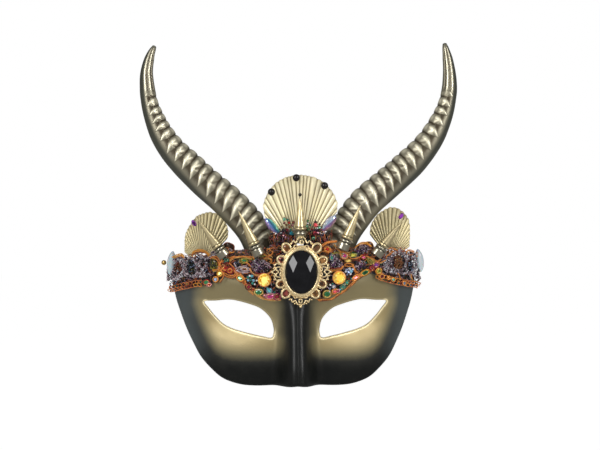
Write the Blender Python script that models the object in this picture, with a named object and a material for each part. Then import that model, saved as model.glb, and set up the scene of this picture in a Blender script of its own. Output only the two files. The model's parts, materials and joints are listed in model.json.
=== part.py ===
"""Horned masquerade half mask: a moulded shell with two eye holes, carrying two horns, three
pleated fans, five turned spikes, an oval brooch and trims. Metres, +Z up, front faces -Y, and
X=0 is the mirror plane of the face shell. Lengths below are millimetres; MM converts them."""
import math

import bmesh
import bpy
import numpy as np
from mathutils import Matrix, Vector

MM = 0.001
GAP = 0.35                    # clearance between pieces that are glued together

# ---- driving dimensions (mm) -------------------------------------------------
FACE_A, FACE_B = 93.0, 60.0   # half width and depth of the ellipse that the shell follows
FACE_PLANE_Y = 17.0           # the whole mask is shifted so that Y=0 passes through the temple edges
WALL = 1.6                    # shell wall
CROWN_RISE, CROWN_DEPTH = 12.0, 25.0   # the forehead edge rolls back into a shelf
EDGE_RISE, EDGE_DEPTH = 2.5, 3.5       # the cheek and chin edges turn in
EYE_CENTRE = (40.0, 4.0)
OFF = 2.6                     # the ornaments sit this far right of the shell's mirror plane
SPIKE_R, SPIKE_LEN = 4.0, 23.0
FERRULE_R, FERRULE_LEN = 4.4, 8.2
GEM_W, GEM_H, GEM_T = 22.0, 30.0, 5.0
BROOCH_W, BROOCH_H, BROOCH_T = 41.6, 48.6, 2.2
BROOCH_BACK_Y = -68.0
FELT = (0.75, 1.55)           # felt base: distance of its two faces off the shell
TRIM = (1.95, 4.6)            # trims on the felt
HORN_SIDES, SHELL_N, SHELL_K, SHELL_EDGE, BRIDGE_N = 12, 44, 6, 3, 10

for obj in list(bpy.data.objects):
    bpy.data.objects.remove(obj)

# ---- materials ---------------------------------------------------------------
FINISHES = {
    "shell_paint": ((0.030, 0.028, 0.024), 0.42, 0.0),
    "horn_paint": ((0.36, 0.31, 0.19), 0.40, 0.6),
    "fan_gold": ((0.60, 0.48, 0.24), 0.38, 0.6),
    "spike_brass": ((0.56, 0.47, 0.26), 0.30, 1.0),
    "spike_pewter": ((0.30, 0.28, 0.24), 0.22, 1.0),
    "filigree_gold": ((0.78, 0.58, 0.24), 0.25, 1.0),
    "black_gem": ((0.010, 0.010, 0.012), 0.05, 0.0),
    "crystal": ((0.50, 0.55, 0.72), 0.08, 0.0),
    "opal": ((0.80, 0.84, 0.84), 0.20, 0.0),
    "amber": ((0.90, 0.42, 0.05), 0.08, 0.0),
    "black_bead": ((0.010, 0.010, 0.010), 0.10, 0.0),
    "purple_crystal": ((0.28, 0.09, 0.36), 0.12, 0.0),
    "rhinestones": ((0.20, 0.34, 0.40), 0.15, 0.2),
    "lilac_braid": ((0.38, 0.34, 0.46), 0.60, 0.2),
    "copper_braid": ((0.50, 0.18, 0.05), 0.55, 0.3),
    "felt": ((0.020, 0.018, 0.018), 0.95, 0.0),
    "petal": ((0.12, 0.06, 0.04), 0.70, 0.0),
    "tab_plastic": ((0.030, 0.030, 0.030), 0.55, 0.0),
    "gold_bead": ((0.70, 0.50, 0.25), 0.25, 0.8),
}


def material(name):
    mat = bpy.data.materials.get(name)
    if mat is None:
        colour, rough, metal = FINISHES[name]
        mat = bpy.data.materials.new(name)
        mat.use_nodes = True
        bsdf = mat.node_tree.nodes["Principled BSDF"]
        bsdf.inputs["Base Color"].default_value = (*colour, 1.0)
        bsdf.inputs["Roughness"].default_value = rough
        bsdf.inputs["Metallic"].default_value = metal
        mat.diffuse_color = (*colour, 1.0)
    return mat


def add(name, points, faces, finish, smooth=35.0):
    """One named object from points in millimetres."""
    mesh = bpy.data.meshes.new(name)
    mesh.from_pydata([tuple(float(c) * MM for c in p) for p in points], [], faces)
    bm = bmesh.new()
    bm.from_mesh(mesh)
    bmesh.ops.remove_doubles(bm, verts=bm.verts, dist=1e-6)
    bmesh.ops.recalc_face_normals(bm, faces=bm.faces)
    bm.to_mesh(mesh)
    bm.free()
    mesh.materials.append(material(finish))
    mesh.shade_smooth()
    mesh.set_sharp_from_angle(angle=math.radians(smooth))
    obj = bpy.data.objects.new(name, mesh)
    bpy.context.scene.collection.objects.link(obj)
    return obj


# ---- curves and the face surface ---------------------------------------------
def smoothstep(t):
    t = min(1.0, max(0.0, t))
    return t * t * (3 - 2 * t)


def table(t, rows):
    if t <= rows[0][0]:
        return rows[0][1]
    for (a, va), (b, vb) in zip(rows, rows[1:]):
        if t <= b:
            return va + (vb - va) * smoothstep((t - a) / (b - a))
    return rows[-1][1]


def line(t, rows):
    if t <= rows[0][0]:
        return rows[0][1]
    for (a, va), (b, vb) in zip(rows, rows[1:]):
        if t <= b:
            return va + (vb - va) * (t - a) / (b - a)
    return rows[-1][1]


def spline(points, n, closed=False):
    """n+1 points at equal steps of length on a Catmull-Rom curve (n on a closed one)."""
    pts = [np.array(p, float) for p in points]
    m = len(pts)
    dense = []
    for i in range(m if closed else m - 1):
        p1, p2 = pts[i], pts[(i + 1) % m]
        p0 = pts[i - 1] if (closed or i > 0) else 2 * p1 - p2
        p3 = pts[(i + 2) % m] if (closed or i + 2 < m) else 2 * p2 - p1
        for k in range(24):
            t = k / 24
            dense.append(0.5 * (2 * p1 + (p2 - p0) * t + (2 * p0 - 5 * p1 + 4 * p2 - p3) * t * t
                                + (3 * p1 - p0 - 3 * p2 + p3) * t ** 3))
    dense.append(pts[0] if closed else pts[-1])
    dense = np.array(dense)
    s = np.r_[0, np.cumsum(np.linalg.norm(np.diff(dense, axis=0), axis=1))]
    want = np.linspace(0, s[-1], n + 1)
    out = np.stack([np.interp(want, s, dense[:, k]) for k in range(dense.shape[1])], 1)
    return out[:-1] if closed else out


NOSE_H = [(-46, 25.0), (-30, 22.0), (-15, 16.5), (0, 10.5), (15, 5.0), (30, 1.5), (47, 0.0)]
NOSE_W = [(-46, 12.0), (-30, 11.0), (-15, 9.8), (0, 9.0), (15, 9.5), (47, 12.0)]


def face_y(x, z):
    """The shell's front: an elliptic half cylinder with a nose, sunk eyes and a brow ridge."""
    ax = abs(x)
    y = -FACE_B * math.sqrt(max(0.0025, 1 - (x / FACE_A) ** 2))
    y += (max(0.0, -20 - z) / 26) ** 2 * 3
    y -= table(z, NOSE_H) * math.exp(-((ax / table(z, NOSE_W)) ** 3.2))
    y += 6.0 * math.exp(-(((ax - 40) / 24) ** 2) - ((z - 4) / 15) ** 2)
    y -= 2.5 * math.exp(-(((z - 25) / 9) ** 2)) * math.exp(-(((ax - 30) / 30) ** 2))
    return y


def face_slope(x, z, h=0.05):
    return ((face_y(x + h, z) - face_y(x - h, z)) / (2 * h),
            (face_y(x, z + h) - face_y(x, z - h)) / (2 * h))


def on_face(x, z, off=0.0):
    """A point of the face surface, moved off it along its outward normal."""
    sx, sz = face_slope(x, z)
    n = np.array([sx, -1.0, sz])
    return np.array([x, face_y(x, z), z]) + off * n / np.linalg.norm(n)


# Right half of the shell's outline, from under the nose round the cheek to the forehead.
OUTLINE = [(0, -43.0), (14, -44.2), (30, -44.8), (41, -43.8), (52, -40), (60.5, -33), (67.5, -25),
           (73, -15), (77.5, -5.5), (81.5, 5), (84.8, 15), (87.2, 27), (87.0, 36), (82, 41.6),
           (66, 45.4), (48, 49.3), (25, 50.5), (0, 50.0)]
EYE = [(64.5, 14.1), (56.4, 15.0), (45.4, 15.9), (32, 12.7), (24.5, 9.4), (18.4, 3.2), (16.3, -3.5),
       (16.5, -7.8), (18.1, -10.3), (25, -9.2), (34, -7.4), (44.6, -4.6), (51.5, -1.3), (57.5, 4.5),
       (61.6, 9.6)]


def crown_share(x, z):
    return smoothstep((82 - abs(x)) / 25) if z > 30 else 0.0


def rise_depth(x, z):
    w = crown_share(x, z)
    chin = 9.0 * math.exp(-((x / 13) ** 2)) if z < 0 else 0.0
    return EDGE_RISE + (CROWN_RISE - EDGE_RISE) * w, EDGE_DEPTH + (CROWN_DEPTH - EDGE_DEPTH) * w + chin


def crown_z(x, y):
    """Height of the shelf behind the brow at (x, y)."""
    top = line(abs(x), [(0, 50.0), (25, 50.5), (48, 49.3), (66, 45.4), (82, 41.6)])
    rise, depth = rise_depth(x, 40)
    c = 1 - (y - face_y(x, top - rise)) / depth
    return top - rise + rise * math.sqrt(max(0.0, 1 - min(1.0, max(-1.0, c)) ** 2)) if c < 1 else top - rise


def shell():
    rim = spline(OUTLINE, SHELL_N)
    eye = spline(EYE, 240, closed=True)
    angles = np.arctan2(eye[:, 1] - EYE_CENTRE[1], eye[:, 0] - EYE_CENTRE[0])
    order = np.argsort(angles)
    reach = np.hypot(eye[:, 0] - EYE_CENTRE[0], eye[:, 1] - EYE_CENTRE[1])[order]
    angles = angles[order]
    columns = []
    for i, (x, z) in enumerate(rim):
        a, b = rim[max(0, i - 1)], rim[min(SHELL_N, i + 1)]
        out = np.array([b[1] - a[1], -(b[0] - a[0])])
        if i in (0, SHELL_N):
            out = np.array([0.0, -1.0 if i == 0 else 1.0])
        out = out / np.linalg.norm(out)
        rise, depth = rise_depth(x, z)
        sx, sz = face_slope(x, z)
        slope = sx * out[0] + sz * out[1]
        share = 1 / math.hypot(1, slope)
        ox, oz = x - out[0] * rise * share, z - out[1] * rise * share
        if i in (0, SHELL_N):
            ox = 0.0
        angle = math.atan2(oz - EYE_CENTRE[1], ox - EYE_CENTRE[0])
        r = np.interp(angle, angles, reach, period=2 * math.pi)
        ex, ez = EYE_CENTRE[0] + r * math.cos(angle), EYE_CENTRE[1] + r * math.sin(angle)
        column = []
        for k in range(SHELL_K + 1):
            t = k / SHELL_K
            px, pz = ex + (ox - ex) * t, ez + (oz - ez) * t
            column.append((px, face_y(px, pz), pz))
        sx, sz = face_slope(ox, oz)
        slope = sx * out[0] + sz * out[1]
        t3 = np.array([out[0], slope, out[1]]) / math.hypot(1, slope)
        for k in range(1, SHELL_EDGE + 1):
            s = math.pi / 2 * k / SHELL_EDGE
            column.append(np.array(column[SHELL_K]) + t3 * rise * math.sin(s)
                          + np.array([0, depth * (1 - math.cos(s)), 0]))
        columns.append(column)
    points, faces = [], []
    rows = len(columns[0])
    for side in (1, -1):
        base = len(points)
        for column in columns:
            points += [(side * p[0], p[1], p[2]) for p in column]
        for i in range(SHELL_N):
            for k in range(rows - 1):
                a = base + i * rows + k
                faces.append((a, a + 1, a + 1 + rows, a + rows))
    # Between the eyes: columns run from the eye to the mirror plane, nose to forehead.
    for sgn in (1, -1):
        lower, upper = columns[0][SHELL_K], columns[-1][SHELL_K]
        strip = []
        for j in range(BRIDGE_N + 1):
            z = lower[2] + (upper[2] - lower[2]) * j / BRIDGE_N
            angle = math.atan2(z - EYE_CENTRE[1], -EYE_CENTRE[0])
            r = np.interp(angle, angles, reach, period=2 * math.pi)
            ex, ez = EYE_CENTRE[0] + r * math.cos(angle), EYE_CENTRE[1] + r * math.sin(angle)
            col = []
            for k in range(SHELL_K + 1):
                t = k / SHELL_K
                px, pz = ex + (0 - ex) * t, ez + (z - ez) * t
                col.append((sgn * px, face_y(px, pz), pz))
            strip.append(col)
        start = len(points)
        for col in strip:
            points += col
        n = SHELL_K + 1
        for j in range(BRIDGE_N):
            for k in range(SHELL_K):
                a = start + j * n + k
                faces.append((a, a + 1, a + 1 + n, a + n))
    obj = add("mask_shell", points, faces, "shell_paint", smooth=50)
    bm = bmesh.new()
    bm.from_mesh(obj.data)
    bmesh.ops.remove_doubles(bm, verts=bm.verts, dist=1e-5)
    bmesh.ops.recalc_face_normals(bm, faces=bm.faces)
    if sum(f.normal.y for f in bm.faces) > 0:
        bmesh.ops.reverse_faces(bm, faces=bm.faces)
    bm.to_mesh(obj.data)
    bm.free()
    mod = obj.modifiers.new("wall", "SOLIDIFY")
    mod.thickness = WALL * MM
    mod.offset = -1.0
    return obj


# ---- generic solids ----------------------------------------------------------
def slab(name, grid_front, grid_back, finish, smooth=35):
    """A closed slab between two grids of the same size."""
    nu, nv = len(grid_front), len(grid_front[0])
    points = [p for row in grid_front for p in row] + [p for row in grid_back for p in row]
    size = nu * nv
    faces = []
    for i in range(nu - 1):
        for j in range(nv - 1):
            a = i * nv + j
            faces.append((a, a + 1, a + 1 + nv, a + nv))
            faces.append((size + a, size + a + nv, size + a + 1 + nv, size + a + 1))
    edge = ([i * nv for i in range(nu)] + [(nu - 1) * nv + j for j in range(1, nv)]
            + [i * nv + nv - 1 for i in range(nu - 2, -1, -1)] + [j for j in range(nv - 2, 0, -1)])
    for a, b in zip(edge, edge[1:] + edge[:1]):
        faces.append((a, b, size + b, size + a))
    return add(name, points, faces, finish, smooth)


def band(name, x0, x1, low, high, offs, nx, nz, finish):
    """A strip that follows the face between the heights low(x) and high(x)."""
    grids = []
    for off in (offs[1], offs[0]):
        grid = []
        for i in range(nx + 1):
            x = x0 + (x1 - x0) * i / nx
            grid.append([on_face(x, low(x) + (high(x) - low(x)) * j / nz, off) for j in range(nz + 1)])
        grids.append(grid)
    return slab(name, grids[0], grids[1], finish)


def frame_of(axis):
    """Two unit vectors square to the axis."""
    axis = Vector([float(c) for c in axis]).normalized()
    side = axis.cross(Vector((0, 1, 0)))
    side = (side if side.length > 1e-3 else axis.cross(Vector((1, 0, 0)))).normalized()
    return axis, side, axis.cross(side).normalized()


def turned(name, base, tip, profile, sides, finish, smooth=40):
    """A turned piece: profile holds (distance along the axis, radius); a radius of 0 ends it."""
    base = Vector([float(c) for c in base])
    axis, u, v = frame_of(Vector([float(c) for c in tip]) - base)
    points, faces, rings = [], [], []
    for along, radius in profile:
        if radius <= 0:
            points.append(base + axis * along)
            rings.append([len(points) - 1])
            continue
        ring = []
        for k in range(sides):
            a = 2 * math.pi * k / sides
            points.append(base + axis * along + (u * math.cos(a) + v * math.sin(a)) * radius)
            ring.append(len(points) - 1)
        rings.append(ring)
    for a, b in zip(rings, rings[1:]):
        for k in range(sides):
            m = (k + 1) % sides
            if len(a) == 1:
                faces.append((a[0], b[m], b[k]))
            elif len(b) == 1:
                faces.append((a[k], a[m], b[0]))
            else:
                faces.append((a[k], a[m], b[m], b[k]))
    for ring in (rings[0], rings[-1]):
        if len(ring) > 1:
            faces.append(tuple(ring))
    return add(name, points, faces, finish, smooth)


def pebble(name, centre, size, finish, turn=0.0, cut="oval", sides=12, lean=0.0):
    """A stone with a flat back: size is width, height, thickness; turn rotates it in the face."""
    w, h, t = size[0] / 2, size[1] / 2, size[2]
    points, faces, rings = [], [], []
    levels = {"oval": [(0, 1.0), (0.30, 1.0), (0.80, 0.72), (1.0, 0.35)],
              "table": [(0, 1.0), (0.30, 1.0), (1.0, 0.60)]}["table" if cut != "oval" else "oval"]
    spin = Matrix.Rotation(turn, 3, "Y") @ Matrix.Rotation(0, 3, "X")
    tilt = Matrix.Rotation(lean, 3, "Z")
    for depth, share in levels:
        ring = []
        for k in range(sides):
            a = 2 * math.pi * k / sides
            c, s = math.cos(a), math.sin(a)
            if cut == "marquise":
                c = math.copysign(abs(c) ** 1.6, c)
            p = Vector((w * c * share, -t * depth, h * s * share))
            points.append(Vector(centre) + tilt @ (spin @ p))
            ring.append(len(points) - 1)
        rings.append(ring)
    for a, b in zip(rings, rings[1:]):
        for k in range(sides):
            faces.append((a[k], a[(k + 1) % sides], b[(k + 1) % sides], b[k]))
    faces.append(tuple(rings[0]))
    faces.append(tuple(rings[-1]))
    return add(name, points, faces, finish, 25)


def ball(name, centre, radius, finish, segments=10, rings=6):
    bm = bmesh.new()
    bmesh.ops.create_uvsphere(bm, u_segments=segments, v_segments=rings, radius=radius * MM)
    mesh = bpy.data.meshes.new(name)
    bm.to_mesh(mesh)
    bm.free()
    mesh.materials.append(material(finish))
    mesh.shade_smooth()
    obj = bpy.data.objects.new(name, mesh)
    obj.location = Vector(centre) * MM
    bpy.context.scene.collection.objects.link(obj)
    return obj


# ---- horns -------------------------------------------------------------------
HORN_RADIUS = [(0.0, 12.2), (0.16, 12.2), (0.45, 11.2), (0.62, 8.8), (0.75, 6.3), (0.86, 4.9),
               (0.94, 3.6), (0.985, 2.2), (1.0, 1.4)]
HORN_RIDGES = 14


def horn(name, path):
    """A curved tapering horn; 14 ridges step along its first three quarters, and its foot is cut
    to stand just clear of the shelf."""
    rows = 30
    centre = spline(path, rows)
    points, faces, rings = [], [], []
    for i, c in enumerate(centre):
        s = i / rows
        ahead = centre[min(rows, i + 1)] - centre[max(0, i - 1)]
        axis, u, v = frame_of(ahead)
        ridged = smoothstep((0.80 - s) / 0.06)
        phase = (s / 0.78 * HORN_RIDGES) % 1.0
        r = line(s, HORN_RADIUS) * (1 - 0.07 * ridged * phase)
        ring = []
        for k in range(HORN_SIDES):
            a = 2 * math.pi * k / HORN_SIDES
            p = Vector(c) + (u * math.cos(a) + v * math.sin(a)) * r
            ground = crown_z(p.x, p.y) + 2 * GAP
            if i == 0:
                p.z = ground
            else:
                p.z = max(p.z, ground + 0.4 * i)
            points.append(p)
            ring.append(len(points) - 1)
        rings.append(ring)
    for a, b in zip(rings, rings[1:]):
        for k in range(HORN_SIDES):
            m = (k + 1) % HORN_SIDES
            faces.append((a[k], a[m], b[m], b[k]))
    foot = len(points)
    cx, cy = centre[0][0], centre[0][1]
    points.append(Vector((cx, cy, crown_z(cx, cy) + 2 * GAP)))
    for k in range(HORN_SIDES):
        faces.append((foot, rings[0][(k + 1) % HORN_SIDES], rings[0][k]))
    faces.append(tuple(rings[-1]))
    return add(name, points, faces, "horn_paint", 40)


def lean_back(z):
    return -42.8 + 23.0 * max(0.0, (z - 50) / 147) ** 1.2


LEFT_HORN = [(-25.0, 54), (-30.2, 64.5), (-38.4, 75), (-50.0, 86.5), (-63.0, 97.5), (-74.8, 108.8),
             (-86.0, 120.1), (-94.0, 131.4), (-99.4, 142.8), (-103.2, 154.1), (-104.9, 165.5),
             (-105.3, 176.9), (-103.0, 188.0), (-99.8, 195.4)]
RIGHT_HORN = [(30.6, 54), (34.6, 63), (41.0, 72.5), (50.2, 84), (62.3, 94.3), (75.1, 105.2),
              (87.2, 116.5), (96.8, 128.1), (103.5, 139.7), (108.4, 151.2), (111.1, 162.8),
              (111.6, 174.3), (110.6, 186.0), (108.5, 197.6)]


# ---- fans --------------------------------------------------------------------
def fan(name, apex, y, reach, start, pleats, lean, per=2, rows=3):
    """A pleated scallop: ribs run from the apex; reach holds (angle from up, radius)."""
    lo, hi = reach[0][0], reach[-1][0]
    steps = pleats * per
    grids = []
    for side in (-0.55, 0.55):
        grid = []
        for i in range(steps + 1):
            a = lo + (hi - lo) * i / steps
            end = line(a, reach)
            ridge = 0.55 if i % 2 else -0.55
            row = []
            for j in range(rows + 1):
                r = start + (end - start) * j / rows
                grow = (r - start) / 30
                x = apex[0] + r * math.sin(math.radians(a))
                z = apex[1] + r * math.cos(math.radians(a))
                row.append((x, y + side + ridge * min(1.0, 0.3 + grow) + lean * (r - start) ** 2 / 1000, z))
            grid.append(row)
        grids.append(grid)
    return slab(name, grids[0], grids[1], "fan_gold", 25)


# ---- trims -------------------------------------------------------------------
LOW_LEFT = [(0, 14.5), (9, 16.5), (19, 18.8), (27, 20.8), (36, 27.0), (42.5, 32.0), (50, 30.7),
            (59, 25.9), (72.5, 22.6), (86, 18.7), (92, 18.0)]
LOW_RIGHT = [(0, 14.5), (12, 16.6), (25.5, 21.6), (36.5, 26.8), (46, 32.0), (52, 33.2), (57.5, 30.6),
             (67.6, 26.2), (82.7, 22.8), (92, 21.0)]


def low(x):
    return line(-x, LOW_LEFT) if x < 0 else line(x, LOW_RIGHT)


def felt_low(x):
    return low(x) + 1.6


def felt_high(x):
    return line(abs(x), [(0, 46.0), (50, 46.0), (70, 45.6), (92, 43.5)])


def lace_high(x):
    """The lace's upper edge is a row of scallops."""
    return line(abs(x), [(0, 43.4), (60.5, 43.4), (63, 47.6), (74, 47.6), (92, 44.5)]) \
        + (1.6 * abs(math.sin(x * math.pi / 6.2)) if abs(x) > 63 else 0.0)


# ---- brooch ------------------------------------------------------------------
def oval(cx, cz, w, h, n, phase=0.0):
    return [(cx + w / 2 * math.cos(2 * math.pi * k / n + phase),
             cz + h / 2 * math.sin(2 * math.pi * k / n + phase)) for k in range(n)]


def brooch():
    """A lobed oval plate pierced by eight loops, with a raised bezel round the stone."""
    cx, cz = OFF, 37.0
    n = 64
    outer = []
    for k in range(n):
        a = 2 * math.pi * k / n
        lobe = 1 - 0.055 * (1 - math.cos(16 * a)) / 2
        outer.append((cx + BROOCH_W / 2 * math.cos(a) * lobe, cz + BROOCH_H / 2 * math.sin(a) * lobe))
    loops = [outer]
    for sx in (-1, 1):
        for px, pz in ((10.2, 16.6), (14.3, 8.2), (14.1, -8.4), (10.1, -15.3)):
            loops.append(oval(cx + sx * px, cz + pz, 3.4, 3.4, 8))
    bm = bmesh.new()
    for ring in loops:
        verts = [bm.verts.new((x * MM, BROOCH_BACK_Y * MM, z * MM)) for x, z in ring]
        for a, b in zip(verts, verts[1:] + verts[:1]):
            bm.edges.new((a, b))
    bmesh.ops.triangle_fill(bm, use_beauty=True, use_dissolve=False, edges=bm.edges)
    made = bmesh.ops.extrude_face_region(bm, geom=bm.faces[:])
    moved = [v for v in made["geom"] if isinstance(v, bmesh.types.BMVert)]
    bmesh.ops.translate(bm, verts=moved, vec=(0, -BROOCH_T * MM, 0))
    bmesh.ops.recalc_face_normals(bm, faces=bm.faces)
    mesh = bpy.data.meshes.new("brooch_frame")
    bm.to_mesh(mesh)
    bm.free()
    mesh.materials.append(material("filigree_gold"))
    obj = bpy.data.objects.new("brooch_frame", mesh)
    bpy.context.scene.collection.objects.link(obj)
    # the bezel: an oval ring that stands 1.6 mm proud of the plate and sinks 0.8 mm into it
    points, faces = [], []
    sides = 28
    y0, y1 = BROOCH_BACK_Y - BROOCH_T + 0.8, BROOCH_BACK_Y - BROOCH_T - 1.6
    for w, h in ((GEM_W + 0.8, GEM_H + 0.8), (GEM_W + 3.4, GEM_H + 3.4)):
        for y in (y0, y1):
            points += [(x, y, z) for x, z in oval(cx, cz, w, h, sides)]
    for k in range(sides):
        m = (k + 1) % sides
        faces += [(k, m, sides + m, sides + k), (2 * sides + k, 3 * sides + k, 3 * sides + m, 2 * sides + m),
                  (k, 2 * sides + k, 2 * sides + m, m), (sides + k, sides + m, 3 * sides + m, 3 * sides + k)]
    ring = add("bezel_cutter", points, faces, "filigree_gold")
    ring.hide_render = True
    ring.display_type = "WIRE"
    mod = obj.modifiers.new("bezel", "BOOLEAN")
    mod.operation = "UNION"
    mod.solver = "EXACT"
    mod.object = ring
    return obj


def gem():
    """A black oval stone: girdle, two rows of facets and a table."""
    cx, cz, back = OFF, 37.0, BROOCH_BACK_Y - BROOCH_T - GAP
    points, faces, rings = [], [], []
    n = 16
    for depth, share, phase in ((0, 0.97, 0), (1.6, 1.0, 0), (3.4, 0.80, math.pi / n), (GEM_T, 0.56, 0)):
        ring = []
        for x, z in oval(cx, cz, GEM_W * share, GEM_H * share, n, phase):
            points.append((x, back - depth, z))
            ring.append(len(points) - 1)
        rings.append(ring)
    a, b, c, d = rings
    for k in range(n):
        m = (k + 1) % n
        faces.append((a[k], a[m], b[m], b[k]))
        faces += [(b[k], b[m], c[k]), (b[m], c[m], c[k]), (c[k], c[m], d[m]), (c[k], d[m], d[k])]
    faces += [tuple(a), tuple(d)]
    return add("brooch_gem", points, faces, "black_gem", 5)


# ---- build -------------------------------------------------------------------
shell()
band("brow_backing", -83.0, 83.0, felt_low, felt_high, FELT, 48, 4, "felt")

out_x = 79.0
for side, sign in (("left", -1), ("right", 1)):
    lo_x, mid_x = (24.2, 45.5) if sign > 0 else (19.4, 43.0)
    span = (lambda a, b: (sign * a, sign * b) if sign > 0 else (-b, -a))
    a, b = span(mid_x + 4.0, out_x)
    band(f"lace_side_{side}", a, b, lambda x: low(x) + 4.9, lace_high, TRIM, 22, 2, "lilac_braid")
    a, b = span(lo_x, mid_x + 3.4)
    band(f"lace_brow_{side}", a, b, lambda x: low(x) + 6.1, lambda x: 45.8, TRIM, 12, 2, "lilac_braid")
    a, b = span(mid_x + 4.0, out_x + 1.0)
    band(f"edging_braid_{side}", a, b, low, lambda x: low(x) + 4.4, (1.95, 3.9), 18, 1, "copper_braid")
    a, b = span(13.0, mid_x + 3.4)
    band(f"gem_chain_{side}", a, b, low, lambda x: low(x) + 5.5, (1.95, 4.7), 18, 1, "copper_braid")

horn("horn_left", [(x, lean_back(z), z) for x, z in LEFT_HORN])
horn("horn_right", [(x, lean_back(z), z) for x, z in RIGHT_HORN])

CENTRE_FAN_Y, SIDE_FAN_Y = -54.5, -33.0
fan("fan_center", (2.5, 47.0), CENTRE_FAN_Y,
    [(-42, 36.5), (-36, 44.5), (-30, 48.5), (-19, 54.5), (-10, 56.8), (0, 57.6), (10, 56.8), (18, 54.8),
     (28, 50.3), (35, 46.0), (40, 40.5)], 9.0, 20, -1.0)
fan("fan_left", (-66.5, 38.0), SIDE_FAN_Y,
    [(-49, 16.2), (-38, 19.8), (-25, 27), (-14, 32), (-5, 37), (8, 40), (18, 39.8), (27, 37.2), (37, 31.8), (42, 27.5)],
    10.0, 14, -1.0)
fan("fan_right", (68.0, 42.5), SIDE_FAN_Y,
    [(-38, 23.5), (-28, 29), (-16, 34), (0, 38.2), (8, 38), (16, 35.8), (25, 32.2), (36, 24.6), (46, 19.8), (56, 17)],
    8.5, 14, -1.0)

# Spikes: foot and tip of the axis in X and Z, and the distance of the axis in front of the face.
SPIKES = {"center": ((2.3, 62.6), (2.1, 88.9), None), "inner_left": ((-26.4, 48.3), (-41.0, 79.4), 6.2),
          "inner_right": ((31.6, 52.0), (44.5, 83.2), 6.2), "outer_left": ((-50.4, 47.0), (-69.5, 73.4), 5.2),
          "outer_right": ((56.0, 47.2), (75.8, 72.6), 5.2)}
for name, (foot, tip, front) in SPIKES.items():
    y = face_y(foot[0], 44) - front if front is not None else -62.5
    a, b = Vector((foot[0], y, foot[1])), Vector((tip[0], y, tip[1]))
    unit = (b - a).normalized()
    length = (b - a).length
    collar = min(FERRULE_LEN, length - SPIKE_LEN)
    turned(f"spike_ferrule_{name}", a, b, [(0, FERRULE_R), (collar * 0.84, FERRULE_R * 0.97),
           (collar * 0.9, FERRULE_R * 0.86), (collar - GAP, FERRULE_R * 0.86)], 12, "spike_pewter")
    turned(f"spike_cone_{name}", a + unit * collar, b, [(0, SPIKE_R * 0.95), (0.8, SPIKE_R * 1.04), (1.6, SPIKE_R * 1.04),
           (2.2, SPIKE_R * 0.93), ((length - collar) * 0.55, SPIKE_R * 0.55), (length - collar, 0)], 12, "spike_brass")
ball("spike_tip_bead", (2.1, -62.5, 90.6), 1.3, "black_bead", 8, 6)

brooch()
gem()

# Stones and beads: centre X, Z and the Y of the flat back.
pebble("navette_left", (-17.3, -56.9, 68.7), (14.2, 6.4, 3.0), "crystal", math.radians(45), "marquise")
pebble("navette_right", (22.9, -56.9, 70.3), (14.8, 6.4, 3.0), "crystal", math.radians(-50), "marquise")
pebble("opal_left", (-88.0, -24.8, 40.4), (17.4, 6.6, 3.2), "opal", math.radians(98), "marquise", lean=math.radians(-30))
pebble("opal_right", (90.2, -22.4, 41.4), (17.0, 6.6, 3.2), "opal", math.radians(80), "marquise", lean=math.radians(30))
ball("gold_bead", (-93.6, -19.5, 40.4), 1.8, "gold_bead")
pebble("amber_cabochon_left", tuple(on_face(-22.1, 30.2, 6.0)), (8.7, 8.7, 3.0), "amber")
pebble("amber_cabochon_right", tuple(on_face(28.2, 31.4, 6.0)), (8.3, 8.3, 3.0), "amber")
for name, x, z in (("left", -17.8, 92.5), ("center", -0.4, 102.4), ("right", 19.4, 96.8)):
    ball(f"fan_bead_{name}", (x, CENTRE_FAN_Y - 6.2, z), 2.6, "black_bead")
pebble("fan_crystal_left", (-72.0, SIDE_FAN_Y - 3.0, 69.6), (3.2, 5.3, 2.2), "purple_crystal", math.radians(-30), "table", 8)
pebble("fan_crystal_right", (75.7, SIDE_FAN_Y - 3.0, 74.2), (3.2, 5.3, 2.2), "purple_crystal", math.radians(35), "table", 8)
for name, x, w in (("left", -7.0, 8.4), ("right", 11.6, 8.4)):
    pebble(f"rhinestone_cluster_{name}", (x, -56.7, 66.8), (w, 14.0, 2.6), "rhinestones", 0.0, "table", 10)
pebble("rhinestone_cluster_brow", tuple(on_face(-30.4, 31.0, 6.0)), (5.6, 7.0, 2.2), "rhinestones", 0.0, "table", 8)
for side, x, y in (("left", -47.8, -49.4), ("right", 51.2, -47.0)):
    pebble(f"petal_{side}", (x, y, 52.2), (8.6, 9.4, 1.0), "petal", 0.0, "oval", 12)

# Flat tabs inside the temples, where a ribbon or an elastic is stapled.
TAB_X, TAB_Z, TAB = 76.0, 8.0, (9.0, 14.0, 1.5)
for side, sign in (("left", -1), ("right", 1)):
    sx, _ = face_slope(sign * TAB_X, TAB_Z)
    inward = Vector((-sx, 1.0, 0.0)).normalized()
    along = Vector((1.0, sx, 0.0)).normalized()
    centre = Vector((sign * TAB_X, face_y(sign * TAB_X, TAB_Z), TAB_Z)) + inward * (WALL + 0.9 + TAB[2] / 2)
    bm = bmesh.new()
    bmesh.ops.create_cube(bm, size=1.0)
    mesh = bpy.data.meshes.new(f"strap_tab_{side}")
    bmesh.ops.scale(bm, vec=(TAB[0] * MM, TAB[2] * MM, TAB[1] * MM), verts=bm.verts)
    bm.to_mesh(mesh)
    bm.free()
    mesh.materials.append(material("tab_plastic"))
    obj = bpy.data.objects.new(f"strap_tab_{side}", mesh)
    up = Vector((0, 0, 1))
    turn = Matrix((along, inward, up)).transposed()
    obj.matrix_world = Matrix.Translation(centre * MM) @ turn.to_4x4()
    bpy.context.scene.collection.objects.link(obj)

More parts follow.
